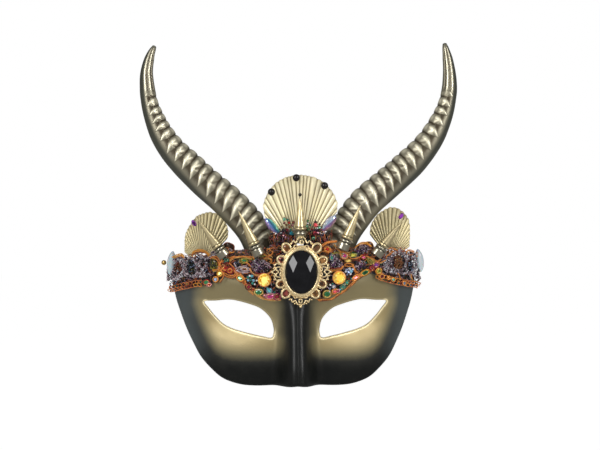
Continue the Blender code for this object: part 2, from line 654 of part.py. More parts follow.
# Everything hangs on one empty, which carries the shift to the temple plane.
origin = bpy.data.objects.new("temple_plane", None)
origin.location = (0, FACE_PLANE_Y * MM, 0)
for obj in list(bpy.context.scene.collection.objects):
    obj.parent = origin
bpy.context.scene.collection.objects.link(origin)
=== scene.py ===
import bpy, math, json
import numpy as np
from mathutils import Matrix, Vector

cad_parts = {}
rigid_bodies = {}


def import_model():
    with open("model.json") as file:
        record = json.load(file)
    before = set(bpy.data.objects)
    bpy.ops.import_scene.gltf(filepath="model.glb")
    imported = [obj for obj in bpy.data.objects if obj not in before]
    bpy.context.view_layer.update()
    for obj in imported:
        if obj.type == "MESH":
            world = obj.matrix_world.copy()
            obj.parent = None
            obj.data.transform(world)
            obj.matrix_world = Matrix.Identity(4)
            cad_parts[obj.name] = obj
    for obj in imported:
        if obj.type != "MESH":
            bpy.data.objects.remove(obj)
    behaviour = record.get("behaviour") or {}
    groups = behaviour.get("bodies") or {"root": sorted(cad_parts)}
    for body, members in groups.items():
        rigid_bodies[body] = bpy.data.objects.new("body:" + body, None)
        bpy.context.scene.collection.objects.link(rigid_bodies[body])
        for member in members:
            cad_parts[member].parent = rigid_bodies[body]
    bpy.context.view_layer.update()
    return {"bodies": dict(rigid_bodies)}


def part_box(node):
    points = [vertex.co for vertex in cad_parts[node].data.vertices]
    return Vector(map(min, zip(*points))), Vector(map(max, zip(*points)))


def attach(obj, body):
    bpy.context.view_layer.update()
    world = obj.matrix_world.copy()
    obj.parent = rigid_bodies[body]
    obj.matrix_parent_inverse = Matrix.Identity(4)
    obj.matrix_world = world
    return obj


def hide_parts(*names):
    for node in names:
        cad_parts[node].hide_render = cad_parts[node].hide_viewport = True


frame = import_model()
BODY = next(iter(frame["bodies"]))
RNG = np.random.default_rng(11)
MM = 0.001
DY = 17.0            # the mask's temple plane, in mm, from the centre of the face ellipse

# ------------------------------------------------------------------ small maths
def smooth(t):
    t = np.clip(t, 0, 1)
    return t * t * (3 - 2 * t)


def lut(t, rows, ease=False):
    rows = np.array(rows, float)
    if not ease:
        return np.interp(t, rows[:, 0], rows[:, 1])
    t = np.asarray(t, float)
    i = np.clip(np.searchsorted(rows[:, 0], t) - 1, 0, len(rows) - 2)
    a, b = rows[i, 0], rows[i + 1, 0]
    u = smooth((t - a) / (b - a))
    return rows[i, 1] + (rows[i + 1, 1] - rows[i, 1]) * u


def unit(v):
    return v / np.maximum(1e-12, np.linalg.norm(v, axis=-1, keepdims=True))


def catmull(points, n, closed=False, per=24):
    pts = np.array(points, float)
    m = len(pts)
    out = []
    t = (np.arange(per) / per)[:, None]
    for i in range(m if closed else m - 1):
        p1, p2 = pts[i], pts[(i + 1) % m]
        p0 = pts[i - 1] if (closed or i > 0) else 2 * p1 - p2
        p3 = pts[(i + 2) % m] if (closed or i + 2 < m) else 2 * p2 - p1
        out.append(0.5 * (2 * p1 + (p2 - p0) * t + (2 * p0 - 5 * p1 + 4 * p2 - p3) * t * t
                          + (3 * p1 - p0 - 3 * p2 + p3) * t ** 3))
    out.append((pts[0] if closed else pts[-1])[None])
    out = np.concatenate(out)
    s = np.r_[0, np.cumsum(np.linalg.norm(np.diff(out, axis=0), axis=1))]
    want = np.linspace(0, s[-1], n + 1)
    res = np.stack([np.interp(want, s, out[:, k]) for k in range(out.shape[1])], 1)
    return res[:-1] if closed else res


# ------------------------------------------------------------------ the face surface (mm)
FACE_A, FACE_B, WALL = 93.0, 60.0, 1.6
NOSE_H = [(-46, 25.0), (-30, 22.0), (-15, 16.5), (0, 10.5), (15, 5.0), (30, 1.5), (47, 0.0)]
NOSE_W = [(-46, 12.0), (-30, 11.0), (-15, 9.8), (0, 9.0), (15, 9.5), (47, 12.0)]


def eased(rows):
    """The same table drawn as one smooth curve, as arrays for np.interp."""
    p = catmull(rows, 400)
    return p[:, 0], p[:, 1]


NOSE_HS, NOSE_WS = eased(NOSE_H), eased(NOSE_W)


def face_y(x, z):
    x, z = np.asarray(x, float), np.asarray(z, float)
    ax = np.abs(x)
    y = -FACE_B * np.sqrt(np.maximum(0.0025, 1 - (x / FACE_A) ** 2))
    y = y + (np.maximum(0.0, -20 - z) / 26) ** 2 * 3
    y = y - np.interp(z, *NOSE_HS) * np.exp(-((ax / np.interp(z, *NOSE_WS)) ** 3.2))
    y = y + 6.0 * np.exp(-(((ax - 40) / 24) ** 2) - ((z - 4) / 15) ** 2)
    y = y - 2.5 * np.exp(-(((z - 25) / 9) ** 2)) * np.exp(-(((ax - 30) / 30) ** 2))
    return y


def face_normal(x, z, h=0.05):
    sx = (face_y(x + h, z) - face_y(x - h, z)) / (2 * h)
    sz = (face_y(x, z + h) - face_y(x, z - h)) / (2 * h)
    return unit(np.stack([sx, -np.ones_like(sx), sz], -1))


def on_face(x, z, off=0.0):
    x, z = np.asarray(x, float), np.asarray(z, float)
    n = face_normal(x, z)
    return np.stack([x, face_y(x, z), z], -1) + np.asarray(off, float)[..., None] * n


# ------------------------------------------------------------------ meshes
class Bag:
    """Collects pieces of one material into one mesh, with a colour for each face or point."""

    def __init__(self):
        self.V, self.F, self.C, self.S, self.n = [], [], [], [], 0

    def put(self, V, F, tint=(1, 1, 1), vt=None, ft=None, smooth=True):
        V = np.asarray(V, float).reshape(-1, 3)
        for k, f in enumerate(F if isinstance(F, (list, tuple)) else [F]):
            f = np.asarray(f, np.int64)
            if not len(f):
                continue
            if ft is not None:
                colours = np.repeat(np.asarray(ft[k] if isinstance(ft, list) else ft, float)[:, None, :], f.shape[1], 1)
            elif vt is not None:
                colours = np.asarray(vt, float)[f]
            else:
                colours = np.broadcast_to(np.asarray(tint, float), (*f.shape, 3))
            self.F.append(f + self.n)
            self.C.append(colours.reshape(-1, 3))
            self.S.append(np.full(len(f), smooth))
        self.V.append(V)
        self.n += len(V)

    def mesh(self, name, groove=None):
        V = np.concatenate(self.V)
        idx = np.concatenate([f.ravel() for f in self.F])
        sizes = np.concatenate([np.full(len(f), f.shape[1]) for f in self.F])
        me = bpy.data.meshes.new(name)
        me.vertices.add(len(V))
        me.vertices.foreach_set("co", ((V + [0, DY, 0]) * MM).astype(np.float32).ravel())
        me.loops.add(len(idx))
        me.loops.foreach_set("vertex_index", idx.astype(np.int32))
        me.polygons.add(len(sizes))
        me.polygons.foreach_set("loop_start", np.r_[0, np.cumsum(sizes)[:-1]].astype(np.int32))
        me.update(calc_edges=True)
        me.polygons.foreach_set("use_smooth", np.concatenate(self.S).astype(bool))
        col = me.color_attributes.new("tint", "FLOAT_COLOR", "CORNER")
        C = np.concatenate(self.C)
        col.data.foreach_set("color", np.c_[C, np.ones(len(C))].astype(np.float32).ravel())
        if groove is not None:
            for key, values in groove.items():
                at = me.attributes.new(key, "FLOAT", "POINT")
                at.data.foreach_set("value", np.asarray(values, np.float32).ravel())
        me.validate()
        return me


PIECES = {}


def place(name, bag, mat, nodes=(), attrs=None):
    me = bag.mesh(name, attrs)
    me.materials.append(mat)
    obj = bpy.data.objects.new(name, me)
    bpy.context.scene.collection.objects.link(obj)
    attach(obj, BODY)
    if nodes:
        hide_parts(*nodes)
    PIECES[name] = obj
    return obj


def grid_faces(nu, nv, close_u=False, close_v=False, flip=False, base=0):
    i = np.arange(nu if close_u else nu - 1)
    j = np.arange(nv if close_v else nv - 1)
    I, J = np.meshgrid(i, j, indexing="ij")
    a = I * nv + J
    b = I * nv + (J + 1) % nv
    c = ((I + 1) % nu) * nv + (J + 1) % nv
    d = ((I + 1) % nu) * nv + J
    f = np.stack([a, b, c, d], -1).reshape(-1, 4) + base
    return f[:, ::-1] if flip else f


def frames(P, closed=False):
    """Tangent and two carried normals along a path."""
    n = len(P)
    if closed:
        T = unit(np.roll(P, -1, 0) - np.roll(P, 1, 0))
    else:
        T = np.empty_like(P)
        T[1:-1] = P[2:] - P[:-2]
        T[0], T[-1] = P[1] - P[0], P[-1] - P[-2]
        T = unit(T)
    U = np.empty_like(P)
    start = np.array([0.0, -1.0, 0.0])
    if abs(T[0] @ start) > 0.9:
        start = np.array([1.0, 0.0, 0.0])
    u = unit(start - (start @ T[0]) * T[0])
    for i in range(n):
        u = unit(u - (u @ T[i]) * T[i])
        U[i] = u
    W = np.cross(T, U)
    if closed:  # undo the twist that is left at the join
        u = unit(U[-1] - (U[-1] @ T[0]) * T[0])
        ang = math.atan2(np.cross(u, U[0]) @ T[0], u @ U[0])
        a = (np.arange(n) / n * ang)[:, None]
        U, W = U * np.cos(a) + W * np.sin(a), W * np.cos(a) - U * np.sin(a)
    return T, U, W


def tube(P, radius, sides=8, closed=False, rough=0.0):
    """(V, [faces]) of a tube along P; open ends are rounded off."""
    P = np.asarray(P, float)
    T, U, W = frames(P, closed)
    r = np.broadcast_to(np.asarray(radius, float), (len(P),))
    a = 2 * np.pi * np.arange(sides) / sides
    if not closed:
        P = np.concatenate([[P[0] - T[0] * r[0] * 0.5], P, [P[-1] + T[-1] * r[-1] * 0.5]])
        U, W = np.concatenate([U[:1], U, U[-1:]]), np.concatenate([W[:1], W, W[-1:]])
        r = np.r_[r[0] * 0.5, r, r[-1] * 0.5]
    R = r[:, None] * (1 + rough * RNG.uniform(-1, 1, (len(P), sides)) if rough else np.ones((len(P), sides)))
    V = P[:, None] + U[:, None] * (np.cos(a) * R)[..., None] + W[:, None] * (np.sin(a) * R)[..., None]
    F = [grid_faces(len(P), sides, close_u=closed, close_v=True)]
    if not closed:
        m = len(P) * sides
        V = np.concatenate([V.reshape(-1, 3), P[:1], P[-1:]])
        k = np.arange(sides)
        F.append(np.concatenate([np.stack([np.full(sides, m), (k + 1) % sides, k], 1),
                                 np.stack([np.full(sides, m + 1), k + (len(P) - 1) * sides, (k + 1) % sides + (len(P) - 1) * sides], 1)]))
    return V.reshape(-1, 3), F


def strands(P, radius, lay, count=2, sides=6, closed=False, swell=1.0):
    """A twisted cord: count strands wound round the path; radius is the whole cord's."""
    P = np.asarray(P, float)
    T, U, W = frames(P, closed)
    seg = np.linalg.norm(np.diff(P, axis=0), axis=1)
    s = np.r_[0, np.cumsum(seg)]
    total = s[-1] + (np.linalg.norm(P[0] - P[-1]) if closed else 0)
    turns = max(1, round(total / lay)) if closed else total / lay
    rs = radius * 0.52
    out = []
    for k in range(count):
        a = (2 * np.pi * (s / total * turns + k / count))[:, None]
        out.append(tube(P + (U * np.cos(a) + W * np.sin(a)) * (radius - rs), rs * swell, sides, closed))
    return out


def cord(bag, P, radius=0.42, tint=(1, 1, 1), closed=False, lay=1.5, count=2, sides=6, vary=0.12, n=None):
    """Adds a twisted cord through the points P, resampled finely."""
    P = np.asarray(P, float)
    length = np.linalg.norm(np.diff(P, axis=0), axis=1).sum()
    n = n or max(8, int(length / 0.34))
    Q = catmull(P, n, closed)
    for V, F in strands(Q, radius, lay, count, sides, closed):
        shade = 1 + vary * RNG.uniform(-1, 1, (len(V), 1))
        bag.put(V, F, vt=np.asarray(tint)[None] * shade)


def ball(bag, c, r, tint, seg=10, rings=7, squash=1.0, normal=None):
    th = np.pi * (np.arange(rings - 1) + 1) / rings
    ph = 2 * np.pi * np.arange(seg) / seg
    n = np.array([0, -1.0, 0]) if normal is None else unit(np.asarray(normal, float))
    u = unit(np.cross(n, [0, 0, 1.0]) + 1e-9)
    w = np.cross(n, u)
    ring = [(np.cos(t) * squash * n + np.sin(t) * (np.cos(p) * u + np.sin(p) * w)) for t in th for p in ph]
    V = np.concatenate([[n * squash], ring, [-n * squash]]) * r + np.asarray(c, float)
    F = [grid_faces(rings - 1, seg, close_v=True, base=1)]
    k = np.arange(seg)
    last = len(V) - 1
    F.append(np.concatenate([np.stack([np.zeros(seg, int), 1 + (k + 1) % seg, 1 + k], 1)[:, ::-1],
                             np.stack([np.full(seg, last), last - seg + k, last - seg + (k + 1) % seg], 1)[:, ::-1]]))
    F[0] = F[0][:, ::-1]
    bag.put(V, F, tint=tint)


def basis(normal, turn=0.0):
    """Right, up and outward unit vectors of a small piece that lies on a surface."""
    n = unit(np.asarray(normal, float))
    right = unit(np.cross(n, [0, 0, 1.0]))
    right = right if right[0] > 0 else -right
    up = np.cross(right, n)
    up = up if up[2] > 0 else -up
    c, s = math.cos(turn), math.sin(turn)
    return right * c + up * s, up * c - right * s, n


def stone(bag, c, size, normal=(0, -1, 0), turn=0.0, tint=(1, 1, 1), cut="round", sides=8, facet_glint=0.45, tints=None):
    """A faceted stone: girdle, crown facets in kites and triangles, and a table; each facet's colour is made randomly
    brighter or darker as painted glints.
    """
    w, h, t = size[0] / 2, size[1] / 2, size[2]
    R, U, N = basis(normal, turn)
    a = 2 * np.pi * np.arange(sides) / sides
    half = np.pi / sides

    def ring(share, depth, phase):
        ca, sa = np.cos(a + phase), np.sin(a + phase)
        if cut == "marquise":
            ca, sa = np.sign(ca) * np.abs(ca) ** 1.0, np.sign(sa) * np.abs(sa) ** 1.55
        return (np.asarray(c, float) + (ca * w * share)[:, None] * R + (sa * h * share)[:, None] * U
                + depth * t * N)
    rings = [ring(0.86, 0.0, 0), ring(1.0, 0.30, 0), ring(0.84, 0.66, half), ring(0.52, 1.0, 0)]
    V = np.concatenate(rings + [np.asarray(c, float)[None] + t * N])
    k = np.arange(sides)
    m = (k + 1) % sides
    s = sides
    quads = np.stack([k, m, s + m, s + k], 1)
    tris = np.concatenate([np.stack([s + k, s + m, 2 * s + k], 1), np.stack([s + m, 2 * s + m, 2 * s + k], 1),
                           np.stack([2 * s + k, 2 * s + m, 3 * s + m], 1), np.stack([2 * s + k, 3 * s + m, 3 * s + k], 1),
                           np.stack([3 * s + k, 3 * s + m, np.full(s, 4 * s)], 1)])
    # painted glints and shade: each facet gets a random brightness, as if it caught the light more or less
    def shade(n):
        base = np.asarray(tint, float)[None] if tints is None else np.asarray(tints, float)[RNG.integers(0, len(tints), n)]
        return np.clip(base * (1 + facet_glint * RNG.uniform(-1, 1.6, (n, 1))), 0, 1)
    table = np.repeat(shade(1), s, 0)
    ft = [shade(len(quads)), np.concatenate([shade(4 * s), table])]
    bag.put(V, [quads, tris], ft=ft, smooth=False)


# ------------------------------------------------------------------ materials
def material(name, color, rough=0.4, metal=0.0, coat=0.0, coat_rough=0.08, sheen=0.0, vary=0.12, vary_size=6.0,
             bump=0.0, bump_size=0.4, bump_detail=3.0, rough_vary=0.08, tint=False, groove=None, groove_color=None,
             wear=None, spec=0.5, subsurface=0.0, film=0.0, ior=1.5, transmission=0.0, aniso=0.0, extra=None, speck=None):
    """A procedural Principled material. Sizes are in millimetres."""
    mat = bpy.data.materials.new(name)
    mat.use_nodes = True
    nt = mat.node_tree
    N, L = nt.nodes, nt.links
    bsdf = N["Principled BSDF"]
    coord = N.new("ShaderNodeTexCoord")
    scale = N.new("ShaderNodeVectorMath")
    scale.operation = "SCALE"
    scale.inputs["Scale"].default_value = 1000.0
    L.new(coord.outputs["Object"], scale.inputs[0])
    mm = scale.outputs[0]

    def noise(size, detail=3.0, rough_=0.55, vec=mm):
        n = N.new("ShaderNodeTexNoise")
        n.inputs["Scale"].default_value = 1.0 / size
        n.inputs["Detail"].default_value = detail
        n.inputs["Roughness"].default_value = rough_
        L.new(vec, n.inputs["Vector"])
        return n.outputs["Fac"]

    def mix(fac, a, b, blend="MIX"):
        m = N.new("ShaderNodeMix")
        m.data_type = "RGBA"
        m.blend_type = blend
        for sock, val in ((m.inputs[0], fac), (m.inputs[6], a), (m.inputs[7], b)):
            if hasattr(val, "is_output"):
                L.new(val, sock)
            elif np.isscalar(val):
                sock.default_value = val
            else:
                sock.default_value = (*val, 1.0)
        return m.outputs[2]

    def ramp(value, stops):
        r = N.new("ShaderNodeValToRGB")
        while len(r.color_ramp.elements) < len(stops):
            r.color_ramp.elements.new(0.5)
        for e, (p, c) in zip(r.color_ramp.elements, stops):
            e.position = p
            e.color = (*c, 1.0) if not np.isscalar(c) else (c, c, c, 1.0)
        L.new(value, r.inputs[0])
        return r.outputs[0]

    def attr(key, color_=False):
        n = N.new("ShaderNodeAttribute")
        n.attribute_name = key
        return n.outputs["Color" if color_ else "Fac"]

    c = np.asarray(color, float)
    base = ramp(noise(vary_size), [(0.28, tuple(np.clip(c * (1 - vary), 0, 1))), (0.72, tuple(np.clip(c * (1 + vary), 0, 1)))])
    if tint:
        base = mix(1.0, base, attr("tint", True), "MULTIPLY")
    rough_out = None
    # painted shade: where the groove attribute is high the colour is pulled towards the dark groove colour
    if groove:
        base = mix(ramp(attr(groove), [(0.0, 0.0), (1.0, 1.0)]), base, groove_color or tuple(c * 0.2))
    if speck:  # glitter: bright and dark points
        size, low, high, amount = speck
        v = N.new("ShaderNodeTexVoronoi")
        v.inputs["Scale"].default_value = 1.0 / size
        L.new(mm, v.inputs["Vector"])
        sep = N.new("ShaderNodeSeparateColor")
        L.new(v.outputs["Color"], sep.inputs[0])
        base = mix(ramp(sep.outputs[0], [(0.0, 0.0), (1 - amount, 0.0), (min(1.0, 1 - amount + 0.08), 1.0)]), base, high)
        base = mix(ramp(sep.outputs[1], [(0.0, 0.0), (1 - amount, 0.0), (min(1.0, 1 - amount + 0.08), 1.0)]), base, low)
    if wear:
        size, col, share = wear
        base = mix(ramp(noise(size, 6.0, 0.7), [(0.0, 0.0), (1 - share, 0.0), (min(1.0, 1 - share + 0.1), 1.0)]), base, col)
    if extra:
        base = extra(dict(N=N, L=L, mm=mm, noise=noise, mix=mix, ramp=ramp, attr=attr, bsdf=bsdf, base=base)) or base
    L.new(base, bsdf.inputs["Base Color"])
    rn = N.new("ShaderNodeMapRange")
    L.new(noise(max(0.8, vary_size * 0.5), 4.0), rn.inputs["Value"])
    rn.inputs["From Min"].default_value = 0.25
    rn.inputs["From Max"].default_value = 0.75
    rn.inputs["To Min"].default_value = max(0.02, rough - rough_vary)
    rn.inputs["To Max"].default_value = min(1.0, rough + rough_vary)
    L.new(rn.outputs[0], bsdf.inputs["Roughness"])
    if not bsdf.inputs["Metallic"].is_linked:
        bsdf.inputs["Metallic"].default_value = metal
    bsdf.inputs["Specular IOR Level"].default_value = spec
    bsdf.inputs["IOR"].default_value = ior
    bsdf.inputs["Coat Weight"].default_value = coat
    bsdf.inputs["Coat Roughness"].default_value = coat_rough
    bsdf.inputs["Sheen Weight"].default_value = sheen
    bsdf.inputs["Transmission Weight"].default_value = transmission
    bsdf.inputs["Anisotropic"].default_value = aniso
    if subsurface:
        bsdf.inputs["Subsurface Weight"].default_value = subsurface
        bsdf.inputs["Subsurface Scale"].default_value = 0.004
    if film:
        bsdf.inputs["Thin Film Thickness"].default_value = film
        bsdf.inputs["Thin Film IOR"].default_value = 1.5
    if bump:
        b = N.new("ShaderNodeBump")
        b.inputs["Strength"].default_value = bump
        b.inputs["Distance"].default_value = bump_size * 0.0006
        L.new(noise(bump_size, bump_detail, 0.6), b.inputs["Height"])
        L.new(b.outputs[0], bsdf.inputs["Normal"])
    return mat

# ------------------------------------------------------------------ mask shell
OUTLINE = [(0, -43.0), (14, -44.2), (30, -44.8), (41, -43.8), (52, -40), (60.5, -33), (67.5, -25),
           (73, -15), (77.5, -5.5), (81.5, 5), (84.8, 15), (87.2, 27), (87.0, 36), (82, 41.6),
           (66, 45.4), (48, 49.3), (25, 50.5), (0, 50.0)]
EYE = [(64.5, 14.1), (56.4, 15.0), (45.4, 15.9), (32, 12.7), (24.5, 9.4), (18.4, 3.2), (16.3, -3.5),
       (16.5, -7.8), (18.1, -10.3), (25, -9.2), (34, -7.4), (44.6, -4.6), (51.5, -1.3), (57.5, 4.5),
       (61.6, 9.6)]
EYE_C = np.array([40.0, 4.0])
LIP = 1.15           # the eye edge is rolled back over this width


def rise_depth(x, z):
    w = smooth((82 - np.abs(x)) / 25) if z > 30 else 0.0
    chin = 9.0 * math.exp(-((x / 13) ** 2)) if z < 0 else 0.0
    return 2.5 + 9.5 * w, 3.5 + 21.5 * w + chin


def crown_z(x, y):
    """Height of the shelf behind the brow."""
    top = float(lut(abs(x), [(0, 50.0), (25, 50.5), (48, 49.3), (66, 45.4), (82, 41.6)]))
    rise, depth = rise_depth(x, 40)
    c = 1 - (y - float(face_y(x, top - rise))) / depth
    return top - rise + rise * math.sqrt(max(0.0, 1 - min(1.0, max(-1.0, c)) ** 2)) if c < 1 else top - rise


def eye_reach():
    """Angles and distances of the eye's edge, and of the same edge moved out by LIP."""
    eye = catmull(EYE, 900, closed=True)
    t = unit(np.roll(eye, -1, 0) - np.roll(eye, 1, 0))
    out = np.stack([t[:, 1], -t[:, 0]], 1)
    if ((eye - EYE_C) * out).sum() < 0:
        out = -out
    wide = eye + out * LIP
    ang = np.arctan2(wide[:, 1] - EYE_C[1], wide[:, 0] - EYE_C[0])
    order = np.argsort(ang)
    return ang[order], np.hypot(*(wide - EYE_C)[order].T), eye[order]


E_ANG, E_R, E_IN = eye_reach()


def eye_point(angle):
    r = np.interp(angle, E_ANG, E_R, period=2 * math.pi)
    wide = EYE_C + r * np.array([math.cos(angle), math.sin(angle)])
    inner = np.array([np.interp(angle, E_ANG, E_IN[:, k], period=2 * math.pi) for k in (0, 1)])
    return wide, inner


def shell_piece():
    K, LIPN, EDGE, NC, NB = 46, 6, 9, 300, 90
    rim = catmull(OUTLINE, NC)
    ts = np.linspace(0, 1, K + 1)

    def rings(wide, inner, end):
        rows = []
        # the rolled lip, from its hidden inner end out to the surface
        for k in range(LIPN):
            a = math.pi / 2 * (1 - k / LIPN)
            p = wide + (inner - wide) * math.sin(a)
            y = float(face_y(*wide)) + 2.1 * (1 - math.cos(a))
            rows.append((p[0], y, p[1]))
        for t in ts:
            p = wide + (end - wide) * t
            rows.append((p[0], float(face_y(*p)), p[1]))
        return rows

    cols = []
    for i, (x, z) in enumerate(rim):
        a, b = rim[max(0, i - 1)], rim[min(NC, i + 1)]
        out = np.array([b[1] - a[1], -(b[0] - a[0])])
        if i in (0, NC):
            out = np.array([0.0, -1.0 if i == 0 else 1.0])
        out = out / np.linalg.norm(out)
        rise, depth = rise_depth(x, z)
        n = face_normal(x, z)
        slope = (-n[0] / n[1]) * out[0] + (-n[2] / n[1]) * out[1]
        share = 1 / math.hypot(1, slope)
        end = np.array([x, z]) - out * rise * share
        if i in (0, NC):
            end[0] = 0.0
        wide, inner = eye_point(math.atan2(end[1] - EYE_C[1], end[0] - EYE_C[0]))
        rows = rings(wide, inner, end)
        n = face_normal(*end)
        slope = (-n[0] / n[1]) * out[0] + (-n[2] / n[1]) * out[1]
        t3 = np.array([out[0], slope, out[1]]) / math.hypot(1, slope)
        for k in range(1, EDGE + 1):
            s = math.pi / 2 * k / EDGE
            rows.append(np.array(rows[LIPN + K]) + t3 * rise * math.sin(s) + np.array([0, depth * (1 - math.cos(s)), 0]))
        cols.append(rows)
    A = np.array(cols, float)
    lower, upper = A[0, LIPN + K], A[-1, LIPN + K]
    B = []
    for j in range(NB + 1):
        z = lower[2] + (upper[2] - lower[2]) * j / NB
        end = np.array([0.0, z])
        wide, inner = eye_point(math.atan2(z - EYE_C[1], -EYE_C[0]))
        B.append(rings(wide, inner, end))
    B = np.array(B, float)[::-1]          # from forehead down to the nose, so that it goes on from A
    bag = Bag()
    gold, lip_rows, outer = [], [], []

    def normals(G):
        du = np.gradient(G, axis=0)
        dv = np.gradient(G, axis=1)
        n = unit(np.cross(du, dv))
        return n * np.sign(-(n[..., 1:2].mean()))

    inner_k = LIPN + 3
    for sgn in (1, -1):
        for G in (A, B):
            n = normals(G)
            back = G[:, inner_k:] - n[:, inner_k:] * WALL
            if G is B:
                back[:, -1, 0] = 0.0
            if G is A:
                for e in (0, -1):
                    back[e, :, 0] = 0.0 if abs(G[e, -1, 0]) < 1e-6 else back[e, :, 0]
                    keep = np.abs(G[e, inner_k:, 0]) > 1e-6
                    back[e, keep, 0] = (G[e, inner_k:, 0] - n[e, inner_k:, 0] * WALL)[keep]
            whole = np.concatenate([G, back[:, ::-1]], 1)     # front out to the edge, then back in
            P = whole * [sgn, 1, 1]
            nu, nv = P.shape[:2]
            bag.put(P, grid_faces(nu, nv, close_v=True, flip=(sgn > 0)))
            x, z = np.abs(P[..., 0]), P[..., 2]
            gold.append(np.broadcast_to(0.0, x.shape).copy())
            lip_rows.append((np.arange(nv)[None] < LIPN + 1) * np.ones((nu, 1)))
            outer.append((np.arange(nv)[None] < G.shape[1]) * np.ones((nu, 1)))
    V = np.concatenate(bag.V)
    x, z = np.abs(V[:, 0]), V[:, 2]
    # airbrushed gold paint: a soft cloud round each eye; its extra strength just under the lower edge is painted light
    # on the cheek that faces up
    eye = catmull(EYE, 240, closed=True)
    d = np.full(len(V), 1e9)
    for k in range(0, len(eye), 2):
        d = np.minimum(d, np.hypot(x - eye[k, 0], z - eye[k, 1]))
    low_edge = np.interp(x, [16.5, 25, 34, 44.6, 51.5, 57.5, 61.6, 64.5, 70], [-9, -9.2, -7.4, -4.6, -1.3, 4.5, 9.6, 14.1, 17])
    below = smooth((low_edge + 3 - z) / 6)
    reach_below = 15.5 + 7.0 * np.exp(-(((x - 44) / 16) ** 2))
    cloud = below * np.exp(-((d / reach_below) ** 2.2)) * 1.0
    above = (1 - below) * np.exp(-((np.maximum(0, d - 2) / 30.0) ** 2.4)) * 0.66
    g = cloud + above
    g *= smooth((x - 3.5) / 15.0)                                   # dark down the nose
    side = smooth((79.5 - x + 0.30 * np.minimum(z - 12, 0)) / 17.0)             # and dark at the temples
    g *= side
    g *= smooth((z + 36) / 22.0)
    outer = np.concatenate([o.ravel() for o in outer])          # nothing is painted inside the mask
    gold_and_cheek_light = np.clip(g, 0, 1) * outer
    lip = np.concatenate([w.ravel() for w in lip_rows])
    # painted highlight: light gold along the rolled eye lip and a thin rim under the lower eye edge, where the edge
    # that faces up catches the light; the upper lip keeps only a faint share
    lower = smooth((low_edge + 6.0 - z) / 5.0)
    rim = np.exp(-((np.maximum(d - 0.2, 0) / 1.25) ** 2)) * lower * (1 - lip)
    lip_highlight = np.clip(lip * smooth((x - 10) / 8) * (0.16 + 0.84 * lower) + 0.62 * rim, 0, 1)
    # painted sheen: a grey lift at the outer sides stands in for the side lights' reflection on the black paint
    slate = smooth((x - 62 - 0.25 * np.minimum(z, 0)) / 18.0) * smooth((z + 38) / 26.0)
    return bag, gold_and_cheek_light, lip_highlight * outer, slate * outer


bag, gold, lip, slate = shell_piece()


def shell_paint_and_highlights(k):
    N, L, mix, ramp, attr, noise = k["N"], k["L"], k["mix"], k["ramp"], k["attr"], k["noise"]
    g = attr("gold")
    grain = noise(0.45, 2.0)
    soft = noise(9.0, 3.0)
    m = N.new("ShaderNodeMath")
    m.operation = "MULTIPLY_ADD"
    L.new(grain, m.inputs[0])
    m.inputs[1].default_value = 0.10
    L.new(g, m.inputs[2])
    m2 = N.new("ShaderNodeMath")
    m2.operation = "MULTIPLY_ADD"
    L.new(soft, m2.inputs[0])
    m2.inputs[1].default_value = 0.10
    L.new(m.outputs[0], m2.inputs[2])
    m3 = N.new("ShaderNodeMath")
    m3.operation = "SUBTRACT"
    L.new(m2.outputs[0], m3.inputs[0])
    m3.inputs[1].default_value = 0.10
    out = ramp(m3.outputs[0], [(0.0, (0.004, 0.0045, 0.004)), (0.12, (0.018, 0.018, 0.015)), (0.34, (0.115, 0.101, 0.058)),
                               (0.62, (0.23, 0.190, 0.098)), (1.0, (0.335, 0.262, 0.125))])
    # painted sheen of the side lights at the outer sides
    out = mix(attr("slate"), out, (0.052, 0.060, 0.060), "ADD")
    # painted highlight on the rolled eye lip
    out = mix(attr("lip"), out, (0.84, 0.72, 0.44))
    metal = ramp(m3.outputs[0], [(0.0, 0.0), (0.25, 0.25), (0.7, 0.38), (1.0, 0.38)])
    L.new(metal, k["bsdf"].inputs["Metallic"])
    return out


M_SHELL = material("shell_satin_paint_and_highlights", (0.02, 0.02, 0.02), rough=0.40, spec=0.30, coat=0.08, coat_rough=0.25, vary_size=12,
                   rough_vary=0.04, bump=0.05, bump_size=0.35, extra=shell_paint_and_highlights)
place("mask_shell_painted", bag, M_SHELL, ["mask_shell"], {"gold": gold, "lip": lip, "slate": slate})

# ------------------------------------------------------------------ horns
HORN_RADIUS = [(0.0, 12.2), (0.16, 12.2), (0.45, 11.2), (0.62, 8.8), (0.75, 6.3), (0.86, 4.9),
               (0.94, 3.6), (0.985, 2.2), (1.0, 1.4)]
LEFT_HORN = [(-25.0, 54), (-30.2, 64.5), (-38.4, 75), (-50.0, 86.5), (-63.0, 97.5), (-74.8, 108.8),
             (-86.0, 120.1), (-94.0, 131.4), (-99.4, 142.8), (-103.2, 154.1), (-104.9, 165.5),
             (-105.3, 176.9), (-103.0, 188.0), (-99.8, 195.4)]
RIGHT_HORN = [(30.6, 54), (34.6, 63), (41.0, 72.5), (50.2, 84), (62.3, 94.3), (75.1, 105.2),
              (87.2, 116.5), (96.8, 128.1), (103.5, 139.7), (108.4, 151.2), (111.1, 162.8),
              (111.6, 174.3), (110.6, 186.0), (108.5, 197.6)]
# where the notches between the ridges fall, as shares of the horn's length
LEFT_NOTCHES = [0.01, 0.047, 0.084, 0.120, 0.164, 0.213, 0.261, 0.305, 0.356, 0.402, 0.447, 0.491, 0.537, 0.584,
                0.629, 0.664, 0.699, 0.734, 0.778]
RIGHT_NOTCHES = [0.03, 0.066, 0.103, 0.140, 0.184, 0.229, 0.279, 0.323, 0.363, 0.402, 0.443, 0.490, 0.537, 0.591,
                 0.643, 0.690, 0.728, 0.771]


def lean_back(z):
    return -42.8 + 23.0 * np.maximum(0.0, (np.asarray(z, float) - 50) / 147) ** 1.2


def tri(t):
    """Triangle wave, 0 at whole numbers and 1 halfway."""
    return 1 - np.abs(2 * (t - np.floor(t)) - 1)


